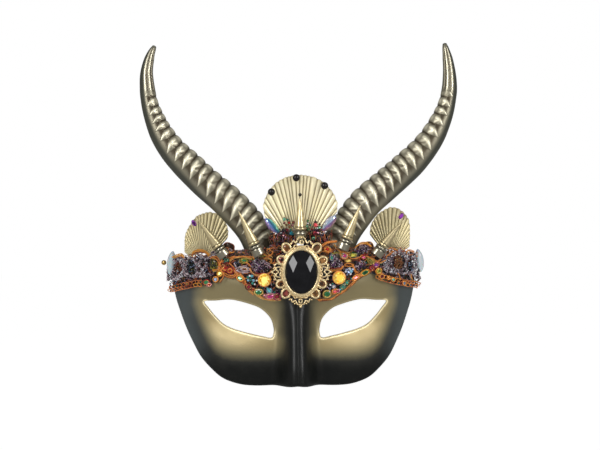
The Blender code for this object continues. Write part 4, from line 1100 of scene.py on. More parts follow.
def bead_piece(name, node, c, r, mat, tint=(1, 1, 1), hole=True):
    """A round bead with a drilled hole."""
    bag = Bag()
    rows = []
    sides = 28
    th = 2 * np.pi * np.arange(sides) / sides
    for q in np.linspace(0.10, math.pi - 0.10, 17):
        rows.append((r * math.sin(q), r * math.cos(q)))
    axis, u = np.array([0.45, -0.55, 0.7]) / np.linalg.norm([0.45, -0.55, 0.7]), None
    u = unit(np.cross(axis, [0, 1.0, 0]))
    v = np.cross(axis, u)
    prof = [(r * 0.10, r * 0.70)] + rows + [(r * 0.10, -r * 0.70)]
    V = np.concatenate([np.asarray(c, float) + d * axis + a_ * (np.cos(th)[:, None] * u + np.sin(th)[:, None] * v) for a_, d in prof])
    m, k = len(prof) * sides, np.arange(sides)
    V = np.concatenate([V, [np.asarray(c, float) + axis * r * 0.7, np.asarray(c, float) - axis * r * 0.7]])
    bag.put(V, [grid_faces(len(prof), sides, close_v=True, flip=True),
                np.concatenate([np.stack([np.full(sides, m), k, (k + 1) % sides], 1),
                                np.stack([np.full(sides, m + 1), m - sides + (k + 1) % sides, m - sides + k], 1)])], tint=tint)
    place(name, bag, mat, [node])


for name, x, z in (("left", -17.8, 92.5), ("center", -0.4, 102.4), ("right", 19.4, 96.8)):
    bead_piece("fan_bead_%s_drilled" % name, "fan_bead_" + name, (x, -60.7, z), 2.6, M_BLACK)
bead_piece("spike_tip_bead_drilled", "spike_tip_bead", (2.1, -62.5, 90.6), 1.3, M_BLACK, (2.0, 1.6, 1.2))
bead_piece("gold_bead_drilled", "gold_bead", (-93.6, -19.5, 40.4), 1.8, M_GOLDB)

for side, c, turn in (("left", (-72.0, -36.0, 69.6), 30), ("right", (75.7, -36.0, 74.2), -35)):
    bag = Bag()
    stone(bag, c, (3.2, 5.3, 2.2), (0, -1, 0), math.radians(turn), (0.20, 0.03, 0.30), sides=8, facet_glint=0.8)
    place("fan_crystal_%s_cut" % side, bag, M_STONE, ["fan_crystal_" + side])

for side, (x, z), tint in (("left", (-22.1, 30.2), (0.95, 0.50, 0.06)), ("right", (28.2, 31.4), (0.86, 0.42, 0.06))):
    bag = Bag()
    c = on_face(x, z, 6.0)
    n = face_normal(np.array(x), np.array(z)) * 0.35 + np.array([0, -0.65, 0])
    stone(bag, c, (8.5, 8.5, 2.9), n, 0.2, tint, sides=12, facet_glint=0.35,
          tints=[tint, (1.0, 0.66, 0.10), (0.80, 0.32, 0.02), (1.0, 0.80, 0.22), (0.62, 0.22, 0.01)])
    R, U, N = basis(n)
    t = np.linspace(0, 2 * np.pi, 60, endpoint=False)
    ring = np.asarray(c) + 4.35 * (np.cos(t)[:, None] * R + np.sin(t)[:, None] * U) + 0.45 * N
    bag.put(*tube(ring, 0.42, 8, True), tint=(0.75, 0.30, 0.08))
    place("amber_cabochon_%s_cut" % side, bag, M_AMBER, ["amber_cabochon_" + side])

# brown glass set in the brooch's eight loops
bag = Bag()
for i, (x, z, a, b) in enumerate(LOOPS):
    tint = ((0.16, 0.060, 0.018), (0.11, 0.050, 0.022), (0.13, 0.025, 0.020), (0.20, 0.095, 0.030))[i % 4]
    stone(bag, (x, BY + 0.9, z), (2 * a + 0.2, 2 * b + 0.2, 1.5), (0, -1, 0), math.atan2(z - BZ, (x - BX) * 1.15), tint, sides=10, facet_glint=0.9)
for x, z, r in ((-11.0, 38.8, 1.0), (-11.0, 35.5, 1.0), (16.1, 38.7, 1.0), (16.1, 35.2, 1.0), (-1.4, 20.0, 1.0), (5.7, 20.0, 1.0), (-1.2, 54.6, 1.0), (6.4, 54.2, 1.0)):
    ball(bag, (x, BY + 0.5, z), r, (0.10, 0.035, 0.015), 10, 7)
place("brooch_frame_loop_glass", bag, M_STONE, ["brooch_frame"])

# ------------------------------------------------------------------ layout of the trims: X and Z in mm on the face
YARNS = [
    ('lace_side_left', [(-84.2, 41.9), (-79.1, 44.5), (-76.8, 41.4), (-77.0, 36.7), (-79.6, 32.3), (-82.6, 29.9)]),
    ('lace_side_left', [(-79.6, 43.8), (-77.8, 39.8), (-76.4, 35.4), (-74.0, 32.7)]),
    ('lace_side_left', [(-74.3, 44.8), (-71.0, 44.3), (-68.8, 41.4), (-68.8, 37.1), (-66.5, 34.2), (-62.1, 33.3), (-58.3, 33.7)]),
    ('lace_side_left', [(-66.4, 46.7), (-62.3, 45.3), (-61.4, 41.2), (-64.2, 37.3), (-62.7, 34.3), (-64.3, 31.7)]),
    ('lace_side_left', [(-67.4, 46.1), (-68.9, 42.2), (-67.6, 37.8), (-68.3, 33.7), (-70.9, 32.3)]),
    ('lace_side_left', [(-64.5, 45.5), (-66.4, 41.0), (-64.6, 37.3), (-66.5, 32.8)]),
    ('lace_side_left', [(-90.4, 29.2), (-85.8, 29.4), (-81.5, 29.3), (-77.7, 32.3), (-74.0, 32.3), (-69.6, 32.2), (-64.6, 32.3), (-60.8, 32.9)]),
    ('lace_side_left', [(-91.6, 37.1), (-90.4, 31.4), (-89.3, 27.4)]),
    ('lace_side_left', [(-80.4, 36.4), (-81.3, 31.9), (-79.1, 29.5)]),
    ('lace_side_left', [(-75.2, 45.0), (-77.2, 44.0), (-80.3, 43.1), (-83.2, 40.5)]),
    ('lace_side_left', [(-61.7, 45.3), (-58.9, 46.4), (-57.7, 48.0)]),
    ('lace_side_left', [(-69.9, 44.4), (-72.1, 45.2), (-74.3, 43.2), (-74.9, 38.7), (-74.0, 34.3)]),
    ('lace_side_right', [(59.2, 42.4), (62.3, 43.1), (65.4, 45.9), (67.9, 48.2)]),
    ('lace_side_right', [(60.4, 38.5), (62.9, 35.3), (66.7, 34.6), (69.9, 33.8), (74.4, 33.3), (78.3, 33.6)]),
    ('lace_side_right', [(71.1, 48.6), (75.3, 46.6), (77.0, 41.6), (75.3, 36.8), (71.1, 35.5), (67.2, 37.6), (65.7, 42.3), (67.3, 46.7), (71.1, 48.6)]),
    ('lace_side_right', [(80.3, 45.1), (83.6, 42.7), (84.5, 38.7), (83.4, 34.5), (80.3, 33.3), (77.4, 35.2), (76.4, 39.4), (77.4, 43.2), (80.3, 45.1)]),
    ('lace_side_right', [(86.5, 45.7), (86.0, 41.0), (87.4, 36.0), (86.2, 31.4), (88.1, 28.1)]),
    ('lace_side_right', [(62.3, 42.0), (64.2, 38.3), (67.0, 35.0)]),
    ('lace_side_right', [(67.9, 47.9), (65.1, 45.1), (63.5, 40.7), (60.7, 37.6)]),
    ('lace_side_right', [(76.9, 47.1), (80.3, 47.4), (84.0, 46.2)]),
    ('lace_side_right', [(82.7, 32.9), (85.5, 30.2), (88.1, 29.0)]),
    ('lace_side_right', [(62.3, 43.7), (61.0, 40.3), (63.9, 37.5), (62.3, 34.9)]),
    ('lace_side_right', [(73.0, 50.3), (69.8, 48.7), (67.3, 48.8)]),
    ('lace_brow_left', [(-58.3, 48.9), (-56.7, 50.2), (-55.2, 49.0), (-57.0, 47.4)]),
    ('lace_brow_left', [(-40.9, 36.8), (-38.7, 38.1), (-36.5, 36.9), (-37.4, 34.7)]),
]

CORDS = [
    ('lace_side_left', 'amber', 0.5, [(-70.9, 48.3), (-68.4, 49.9), (-65.0, 50.4), (-61.4, 48.9), (-59.7, 46.7)]),
    ('lace_side_left', 'amber', 0.5, [(-70.7, 49.2), (-68.0, 51.0), (-64.8, 51.3), (-61.0, 49.8), (-58.9, 47.5)]),
    ('lace_side_left', 'amber', 0.5, [(-84.3, 44.9), (-81.2, 46.7), (-77.9, 47.7), (-75.8, 45.5)]),
    ('lace_side_left', 'amber', 0.5, [(-83.2, 44.2), (-80.6, 45.6), (-78.1, 46.6), (-76.4, 44.7)]),
    ('lace_side_left', 'orange', 0.42, [(-58.3, 46.4), (-54.5, 46.8), (-52.7, 44.2), (-51.9, 40.8), (-50.7, 37.7), (-49.4, 34.7)]),
    ('lace_side_left', 'orange', 0.42, [(-58.9, 45.7), (-55.5, 45.7), (-53.5, 43.5), (-52.7, 39.6), (-53.2, 36.8)]),
    ('edging_braid_left', 'amber', 0.42, [(-57.1, 36.4), (-54.6, 37.1), (-51.7, 36.8), (-49.6, 36.5)]),
    ('edging_braid_left', 'amber', 0.42, [(-57.6, 37.1), (-54.9, 37.7), (-52.1, 37.4)]),
    ('lace_brow_left', 'orange', 0.42, [(-50.7, 45.3), (-52.0, 42.0), (-52.6, 39.3), (-50.8, 36.4), (-49.7, 33.9), (-50.2, 31.6), (-52.1, 29.0)]),
    ('lace_brow_left', 'orange', 0.42, [(-47.1, 45.7), (-43.8, 46.9), (-40.1, 46.5), (-36.4, 47.0), (-30.3, 47.0), (-29.3, 45.4)]),
    ('lace_brow_left', 'orange', 0.42, [(-45.8, 44.7), (-41.6, 46.8), (-36.5, 47.4), (-30.9, 46.0)]),
    ('lace_brow_left', 'orange', 0.42, [(-49.4, 44.1), (-52.0, 42.8), (-52.7, 40.3)]),
    ('lace_brow_left', 'orange', 0.42, [(-49.8, 33.8), (-46.5, 32.3), (-42.7, 32.5), (-41.0, 34.8), (-42.0, 38.0), (-44.4, 40.8), (-45.8, 42.2)]),
    ('lace_brow_left', 'orange', 0.42, [(-49.3, 35.2), (-46.2, 33.5), (-43.0, 33.5), (-42.0, 35.4), (-43.2, 38.0)]),
    ('gem_chain_left', 'orange', 0.42, [(-41.1, 34.8), (-37.6, 33.6), (-35.5, 30.6), (-34.7, 28.1), (-32.8, 25.1), (-29.7, 23.1), (-26.5, 21.1), (-20.8, 18.7), (-14.6, 18.0), (-9.5, 17.7)]),
    ('gem_chain_left', 'orange', 0.42, [(-42.0, 33.6), (-39.3, 33.1), (-36.8, 30.5), (-35.6, 27.6), (-32.8, 24.1), (-29.6, 22.0)]),
    ('lace_brow_left', 'orange', 0.42, [(-39.3, 43.1), (-36.5, 43.4), (-33.4, 42.4), (-31.5, 40.1)]),
    ('lace_brow_left', 'orange', 0.42, [(-23.4, 49.5), (-19.7, 47.7), (-16.4, 50.2), (-18.9, 52.2)]),
    ('lace_brow_left', 'orange', 0.42, [(-22.8, 46.1), (-20.0, 46.7), (-17.1, 44.9), (-18.4, 43.0)]),
    ('lace_brow_left', 'pale', 0.36, [(-32.3, 38.2), (-30.3, 35.1), (-26.6, 33.8), (-22.2, 34.4), (-19.0, 35.7), (-17.1, 37.6)]),
    ('lace_brow_left', 'pale', 0.36, [(-32.0, 38.9), (-29.8, 34.4), (-26.5, 33.0), (-21.8, 33.8), (-18.5, 35.2)]),
    ('lace_brow_left', 'red', 0.42, [(-28.7, 35.6), (-25.9, 34.8), (-22.1, 35.3)]),
    ('lace_brow_left', 'red', 0.42, [(-52.1, 39.6), (-49.2, 40.3), (-47.6, 37.9), (-49.4, 35.8), (-51.3, 37.5), (-52.1, 39.6)]),
    ('lace_brow_left', 'red', 0.42, [(-46.4, 39.5), (-43.5, 38.7), (-43.2, 35.6), (-45.8, 34.8), (-47.7, 36.9), (-46.4, 39.5)]),
    ('lace_brow_left', 'red', 0.42, [(-49.6, 42.9), (-46.4, 42.2), (-44.0, 40.5), (-42.7, 37.4)]),
    ('gem_chain_left', 'red', 0.42, [(-32.8, 27.6), (-34.4, 26.3), (-33.1, 24.8), (-31.1, 25.8), (-32.8, 27.6)]),
    ('lace_brow_left', 'red', 0.42, [(-50.8, 42.2), (-48.0, 40.4), (-46.5, 37.3)]),
    ('lace_brow_left', 'lime', 0.34, [(-37.7, 45.6), (-34.6, 45.9), (-32.0, 45.3), (-30.1, 46.3)]),
    ('lace_brow_left', 'lime', 0.34, [(-38.7, 45.0), (-35.9, 45.9), (-33.2, 43.9), (-35.7, 42.4), (-38.7, 43.1), (-38.7, 45.0)]),
    ('lace_brow_left', 'lime', 0.34, [(-29.0, 47.6), (-27.1, 48.6), (-24.0, 47.7), (-20.9, 48.3)]),
    ('lace_brow_left', 'lilac', 0.42, [(-38.0, 38.6), (-35.6, 39.5), (-32.9, 38.9), (-32.6, 37.2), (-35.3, 36.4), (-37.7, 37.0), (-38.0, 38.6)]),
    ('lace_brow_left', 'lilac', 0.42, [(-41.3, 37.1), (-39.3, 36.1), (-36.5, 35.5), (-33.3, 35.5)]),
    ('lace_brow_left', 'lilac', 0.42, [(-22.2, 42.5), (-19.4, 41.1), (-17.5, 39.4)]),
    ('lace_brow_left', 'lilac', 0.42, [(-21.6, 43.6), (-18.5, 41.9)]),
    ('lace_brow_left', 'lilac', 0.42, [(-40.8, 38.7), (-38.4, 40.0), (-35.9, 40.0)]),
    ('lace_brow_left', 'lilac', 0.42, [(-42.7, 42.4), (-41.2, 39.9), (-41.5, 38.0)]),
    ('lace_brow_left', 'teal', 0.34, [(-52.0, 45.0), (-49.4, 45.5), (-47.7, 44.5), (-48.8, 43.0), (-51.1, 43.1), (-52.0, 45.0)]),
    ('lace_brow_left', 'brown', 0.45, [(-22.2, 51.4), (-24.0, 49.5), (-22.8, 47.0), (-25.3, 45.8)]),
    ('lace_brow_left', 'brown', 0.45, [(-20.9, 50.8), (-18.4, 48.9), (-16.6, 47.1)]),
    ('lace_brow_left', 'brown', 0.45, [(-26.5, 49.5), (-24.0, 50.8), (-21.6, 49.5), (-20.9, 47.0)]),
    ('lace_brow_right', 'orange', 0.5, [(16.9, 55.3), (19.6, 57.0), (23.1, 57.9), (27.2, 58.1)]),
    ('lace_brow_right', 'orange', 0.5, [(17.3, 54.5), (19.9, 56.3), (23.2, 57.2), (27.3, 57.6)]),
    ('lace_brow_right', 'orange', 0.42, [(25.4, 55.8), (27.8, 52.9), (30.3, 50.4), (34.9, 48.7), (37.3, 48.9)]),
    ('lace_brow_right', 'orange', 0.42, [(19.0, 53.9), (21.3, 54.0), (23.2, 52.4), (22.2, 50.4), (19.9, 50.2), (18.5, 52.0), (19.0, 53.9)]),
    ('lace_brow_right', 'orange', 0.42, [(29.6, 49.9), (32.6, 49.9), (34.9, 47.5), (34.0, 45.5), (31.4, 45.5), (29.9, 47.3), (29.6, 49.9)]),
    ('lace_brow_right', 'orange', 0.42, [(34.9, 47.5), (38.5, 45.4), (42.8, 46.0), (44.6, 47.9)]),
    ('lace_brow_right', 'orange', 0.42, [(43.3, 46.4), (44.6, 47.4), (48.3, 46.7), (51.3, 45.2), (53.2, 43.5)]),
    ('lace_brow_right', 'orange', 0.42, [(32.6, 41.4), (35.5, 41.9), (38.6, 41.1), (38.0, 40.1), (35.5, 39.8), (32.9, 40.4), (32.6, 41.4)]),
    ('lace_brow_right', 'orange', 0.42, [(39.1, 41.0), (39.7, 37.5), (42.2, 35.0)]),
    ('lace_brow_right', 'orange', 0.42, [(38.4, 40.4), (39.0, 37.0), (41.4, 34.6)]),
    ('lace_brow_right', 'orange', 0.42, [(51.5, 45.6), (54.3, 43.8), (57.3, 42.2), (61.0, 43.2), (62.3, 44.3)]),
    ('lace_brow_right', 'orange', 0.42, [(53.0, 42.3), (55.8, 43.1), (58.6, 44.2)]),
    ('lace_brow_right', 'orange', 0.38, [(21.9, 37.7), (25.4, 37.0), (29.6, 38.2), (31.5, 40.5)]),
    ('lace_brow_right', 'orange', 0.38, [(21.6, 37.0), (25.5, 36.3), (29.9, 37.6), (32.1, 40.1)]),
    ('lace_brow_right', 'red', 0.42, [(23.1, 38.9), (26.6, 38.3), (29.7, 39.1)]),
    ('lace_brow_right', 'red', 0.42, [(42.7, 46.0), (43.3, 44.4), (42.7, 43.1)]),
    ('lace_brow_right', 'red', 0.42, [(53.0, 38.8), (51.2, 39.3), (50.3, 37.7), (51.8, 36.4), (53.4, 37.2), (53.0, 38.8)]),
    ('lace_brow_right', 'red', 0.42, [(44.5, 47.3), (46.9, 48.4), (49.4, 47.4)]),
    ('lace_brow_right', 'lime', 0.36, [(23.7, 48.8), (26.6, 50.0), (29.7, 49.4), (31.4, 48.2)]),
    ('lace_brow_right', 'lime', 0.36, [(35.8, 48.1), (38.5, 49.2), (41.0, 48.0), (38.5, 46.6), (35.8, 48.1)]),
    ('lace_brow_right', 'lime', 0.36, [(49.1, 44.5), (51.1, 45.2), (52.8, 43.5), (51.1, 41.8), (49.1, 42.9), (49.1, 44.5)]),
    ('lace_brow_right', 'lime', 0.36, [(48.2, 46.0), (51.2, 42.9), (52.9, 45.1)]),
    ('lace_brow_right', 'lime', 0.36, [(50.6, 41.5), (53.2, 42.3), (53.6, 44.4)]),
    ('lace_brow_right', 'amber', 0.5, [(40.3, 53.7), (43.3, 56.1), (47.5, 56.6), (50.7, 54.6), (51.8, 53.5)]),
    ('lace_brow_right', 'amber', 0.5, [(39.7, 53.0), (42.7, 55.2), (47.2, 55.8), (51.2, 53.7)]),
    ('lace_brow_right', 'brown', 0.4, [(31.4, 53.4), (34.9, 52.2), (38.5, 53.3), (42.1, 52.0)]),
    ('lace_brow_right', 'brown', 0.4, [(31.4, 51.7), (34.9, 50.4), (37.9, 50.9)]),
    ('lace_brow_right', 'brown', 0.4, [(26.6, 53.5), (29.6, 51.7), (32.6, 51.1)]),
    ('gem_chain_right', 'orange', 0.4, [(13.7, 18.1), (19.6, 18.5), (24.3, 19.6), (30.1, 23.1), (34.8, 25.9), (38.5, 28.7), (43.4, 32.6), (48.3, 34.8), (51.3, 36.4)]),
    ('gem_chain_right', 'orange', 0.4, [(14.3, 17.2), (19.7, 17.7), (24.6, 18.9), (30.7, 22.5), (35.2, 25.2), (39.1, 28.1), (43.9, 31.9), (48.6, 34.1), (51.7, 35.7)]),
    ('gem_chain_right', 'orange', 0.4, [(40.9, 33.4), (42.7, 33.9), (44.5, 33.3), (43.3, 31.6), (41.2, 31.9), (40.9, 33.4)]),
    ('lace_side_right', 'orange', 0.42, [(66.7, 51.1), (65.4, 48.3), (62.9, 47.1), (61.7, 45.2)]),
    ('lace_side_right', 'orange', 0.42, [(67.3, 51.8), (69.8, 50.6), (70.8, 48.6)]),
    ('lace_side_right', 'orange', 0.42, [(77.6, 49.4), (81.8, 47.9), (80.9, 46.1), (76.9, 47.2), (77.6, 49.4)]),
    ('lace_side_right', 'orange', 0.42, [(76.9, 48.9), (79.3, 49.9), (82.6, 48.4)]),
    ('lace_side_right', 'orange', 0.42, [(85.9, 47.5), (87.6, 45.7), (86.2, 44.0), (84.4, 45.9), (85.9, 47.5)]),
    ('lace_side_right', 'orange', 0.42, [(63.5, 51.3), (66.0, 52.1), (68.6, 50.5)]),
    ('lace_side_right', 'orange', 0.42, [(69.9, 33.9), (71.8, 31.4), (72.1, 29.0)]),
    ('lace_side_right', 'orange', 0.42, [(80.3, 33.2), (81.0, 30.7), (81.7, 28.3)]),
    ('lace_side_right', 'orange', 0.42, [(64.1, 49.0), (67.3, 49.4), (69.2, 47.8)]),
    ('lace_side_right', 'brown', 0.5, [(68.2, 45.8), (70.2, 46.3), (72.4, 45.6)]),
    ('lace_side_right', 'brown', 0.5, [(68.6, 38.7), (71.1, 37.4), (73.7, 38.4)]),
    ('lace_side_right', 'brown', 0.5, [(68.6, 44.0), (71.1, 44.8), (74.0, 43.6)]),
    ('lace_side_right', 'brown', 0.5, [(68.4, 42.3), (71.1, 43.0), (74.2, 41.8)]),
    ('lace_side_right', 'brown', 0.5, [(68.4, 40.5), (71.1, 41.2), (74.1, 40.0)]),
    ('lace_side_right', 'brown', 0.5, [(71.1, 46.8), (73.1, 42.0), (71.1, 37.4)]),
    ('lace_side_right', 'brown', 0.5, [(69.2, 46.4), (70.5, 42.1), (69.5, 37.8)]),
]

CUPS = [
    ('edging_braid_left', -61.5, 28.3, 4.8, 3.5, 15, 'green', 'red'),
    ('edging_braid_left', -55.2, 30.5, 3.9, 3.6, 0, 'steel', 'orange'),
    ('edging_braid_left', -52.4, 34.5, 4.1, 3.8, 20, 'lime', 'amber'),
    ('edging_braid_left', -59.6, 26.8, 3.3, 2.2, 10, 'red', 'pink'),
    ('lace_brow_left', -49.1, 38.3, 3.2, 2.6, 0, 'red', 'orange'),
    ('lace_brow_left', -45.5, 37.0, 3.2, 2.8, 30, 'red', 'orange'),
    ('gem_chain_left', -38.7, 31.2, 5.4, 3.5, -30, 'green', 'orange'),
    ('gem_chain_left', -32.8, 26.2, 4.1, 3.8, 0, 'garnet', 'garnet'),
    ('gem_chain_left', -26.3, 23.3, 6.0, 4.5, 0, 'green', 'gold'),
    ('gem_chain_left', -18.2, 20.7, 6.7, 3.9, 10, 'magenta', 'pink'),
    ('gem_chain_left', -12.9, 20.1, 5.1, 4.4, 0, 'garnet', 'magenta'),
    ('gem_chain_left', -19.0, 24.0, 3.8, 3.6, 0, 'aqua', 'steel'),
    ('lace_brow_left', -48.0, 44.5, 3.2, 2.2, 0, 'teal', 'teal'),
    ('gem_chain_left', -29.7, 24.8, 2.6, 2.5, 0, 'red', 'garnet'),
    ('lace_brow_left', -35.9, 44.3, 4.7, 2.5, -10, 'green', 'lime'),
    ('lace_brow_left', -35.6, 38.0, 4.1, 1.9, 0, 'garnet', 'lilac'),
    ('lace_brow_right', 20.7, 52.3, 3.6, 3.0, 0, 'red', 'orange'),
    ('lace_brow_right', 32.6, 47.6, 3.8, 3.4, 0, 'magenta', 'lilac'),
    ('lace_brow_right', 38.5, 47.9, 5.3, 2.8, 0, 'lime', 'green'),
    ('lace_brow_right', 35.2, 44.0, 5.1, 3.0, 0, 'goldglass', 'brown'),
    ('lace_brow_right', 54.9, 40.4, 4.9, 3.4, 10, 'violet', 'magenta'),
    ('lace_brow_right', 51.7, 37.9, 3.1, 3.0, 0, 'garnet', 'red'),
    ('edging_braid_right', 56.7, 35.9, 4.7, 4.1, 0, 'lime', 'amber'),
    ('edging_braid_right', 59.0, 32.0, 3.6, 3.5, 0, 'garnet', 'orange'),
    ('gem_chain_right', 46.9, 34.9, 6.8, 3.4, 26, 'green', 'amber'),
    ('gem_chain_right', 40.3, 31.4, 6.1, 3.1, 32, 'red', 'orange'),
    ('gem_chain_right', 31.3, 26.1, 4.1, 3.4, 20, 'teal', 'teal'),
    ('gem_chain_right', 33.9, 28.4, 3.4, 3.0, 30, 'teal', 'green'),
    ('gem_chain_right', 25.7, 23.6, 3.9, 3.6, 0, 'redpink', 'orange'),
    ('gem_chain_right', 27.8, 23.8, 2.4, 2.3, 0, 'magenta', 'pink'),
    ('gem_chain_right', 20.4, 21.9, 5.7, 4.9, 0, 'green', 'gold'),
    ('gem_chain_right', 12.4, 21.8, 4.3, 5.1, 20, 'garnet', 'garnet'),
    ('gem_chain_right', 25.0, 26.3, 2.7, 2.4, 0, 'silver', 'steel'),
    ('lace_brow_right', 23.7, 46.3, 2.4, 4.1, 0, 'teal', 'steel'),
    ('lace_brow_right', 46.0, 46.1, 3.4, 2.3, 0, 'magenta', 'red'),
    ('edging_braid_right', 67.3, 29.3, 3.0, 2.8, 0, 'teal', 'orange'),
    ('edging_braid_right', 75.3, 26.4, 3.0, 3.0, 0, 'steel', 'orange'),
    ('edging_braid_right', 63.8, 30.7, 2.7, 2.7, 0, 'amberglass', 'orange'),
]

LEAVES = [
    ('lace_brow_left', 'violet', [(-31.5, 42.4), (-29.6, 44.5), (-26.5, 45.6), (-23.4, 45.3), (-20.6, 43.3), (-18.3, 40.2), (-20.0, 37.1), (-23.5, 35.3), (-27.2, 35.7), (-30.3, 38.1)]),
    ('lace_brow_left', 'night', [(-42.7, 43.0), (-40.8, 45.2), (-38.0, 45.3), (-38.0, 40.9), (-40.2, 39.3), (-42.4, 39.9)]),
    ('lace_side_left', 'night', [(-71.8, 45.2), (-69.3, 43.1), (-68.8, 39.7), (-70.2, 36.1), (-72.1, 35.4), (-74.0, 36.9), (-74.6, 40.3), (-73.7, 43.5)]),
    ('lace_side_left', 'umber', [(-81.3, 40.9), (-79.4, 39.4), (-79.2, 36.2), (-80.7, 33.3), (-82.6, 33.7), (-83.4, 36.5), (-83.0, 39.4)]),
    ('lace_side_left', 'olive', [(-57.0, 45.8), (-54.5, 44.3), (-54.0, 40.8), (-55.5, 38.0), (-57.7, 37.9), (-59.5, 40.0), (-59.9, 43.2), (-58.8, 45.1)]),
    ('lace_brow_right', 'violet', [(23.1, 47.7), (26.6, 47.8), (29.6, 44.1), (31.5, 41.2), (28.5, 39.4), (24.3, 39.1), (22.5, 41.3)]),
    ('lace_brow_right', 'violet', [(39.7, 40.3), (42.1, 42.7), (45.9, 44.3), (47.7, 42.4), (47.1, 38.9), (43.4, 37.3), (40.9, 37.9)]),
    ('lace_brow_right', 'violet', [(40.9, 51.9), (43.3, 54.3), (47.5, 54.8), (50.5, 53.4), (50.3, 50.6), (47.5, 49.2), (43.3, 49.5)]),
    ('lace_side_right', 'umber', [(71.1, 46.5), (73.7, 45.2), (74.3, 41.8), (73.4, 38.5), (71.1, 37.5), (68.7, 38.8), (68.1, 42.2), (68.9, 45.5)]),
    ('lace_side_right', 'night', [(80.3, 42.4), (81.8, 41.1), (82.2, 38.9), (81.7, 36.3), (80.3, 35.7), (78.8, 36.6), (78.4, 39.3), (78.9, 41.5)]),
    ('lace_brow_right', 'umber', [(31.3, 35.1), (34.0, 34.7), (34.6, 33.0), (33.1, 31.3), (31.0, 31.3), (30.1, 33.1)]),
    ('lace_brow_right', 'umber', [(50.6, 54.1), (51.9, 52.9), (52.4, 49.4), (51.2, 48.5), (50.3, 50.6)]),
]

STONES = [
    ('rhinestone_cluster_brow', -33.4, 32.0, 2.1, 'teal'),
    ('rhinestone_cluster_brow', -30.6, 32.9, 2.2, 'aqua'),
    ('rhinestone_cluster_brow', -31.6, 30.4, 2.1, 'teal'),
    ('rhinestone_cluster_brow', -29.6, 30.0, 2.1, 'sky'),
    ('rhinestone_cluster_brow', -30.3, 28.3, 1.9, 'teal'),
    ('rhinestone_cluster_brow', -33.3, 30.0, 1.8, 'sky'),
    ('rhinestone_cluster_brow', -32.2, 33.1, 1.7, 'white'),
    ('gem_chain_left', -27.5, 29.9, 1.5, 'white'),
    ('gem_chain_left', -27.2, 24.6, 1.5, 'white'),
    ('gem_chain_left', -26.0, 24.7, 1.4, 'white'),
    ('gem_chain_left', -20.1, 25.3, 1.7, 'aqua'),
    ('gem_chain_left', -18.2, 25.0, 1.5, 'sky'),
    ('gem_chain_left', -15.4, 23.1, 1.7, 'teal'),
    ('gem_chain_left', -22.2, 21.4, 1.5, 'pink'),
    ('gem_chain_left', -11.7, 21.5, 1.4, 'garnet'),
    ('gem_chain_left', -14.8, 18.9, 1.3, 'magenta'),
    ('gem_chain_left', -28.8, 27.7, 1.4, 'white'),
    ('gem_chain_left', -34.4, 27.6, 1.5, 'red'),
    ('lace_brow_right', 34.0, 37.3, 2.2, 'steel'),
    ('lace_brow_right', 36.1, 37.9, 2.2, 'white'),
    ('lace_brow_right', 37.3, 36.1, 2.3, 'sky'),
    ('lace_brow_right', 35.2, 35.3, 2.2, 'steel'),
    ('lace_brow_right', 33.4, 35.9, 1.8, 'white'),
    ('lace_brow_right', 38.2, 37.5, 1.7, 'steel'),
    ('lace_brow_right', 36.7, 34.1, 1.7, 'white'),
    ('lace_brow_right', 34.3, 33.6, 1.6, 'steel'),
    ('gem_chain_right', 22.7, 27.2, 1.6, 'white'),
    ('gem_chain_right', 24.2, 28.0, 1.4, 'teal'),
    ('gem_chain_right', 22.4, 25.1, 1.4, 'steel'),
    ('gem_chain_right', 29.5, 24.7, 1.3, 'aqua'),
    ('gem_chain_right', 32.4, 27.3, 1.2, 'white'),
    ('gem_chain_right', 35.4, 29.5, 1.3, 'teal'),
    ('gem_chain_right', 37.2, 30.6, 1.2, 'aqua'),
    ('gem_chain_right', 29.5, 23.2, 1.2, 'green'),
    ('gem_chain_right', 22.1, 23.4, 1.2, 'white'),
]

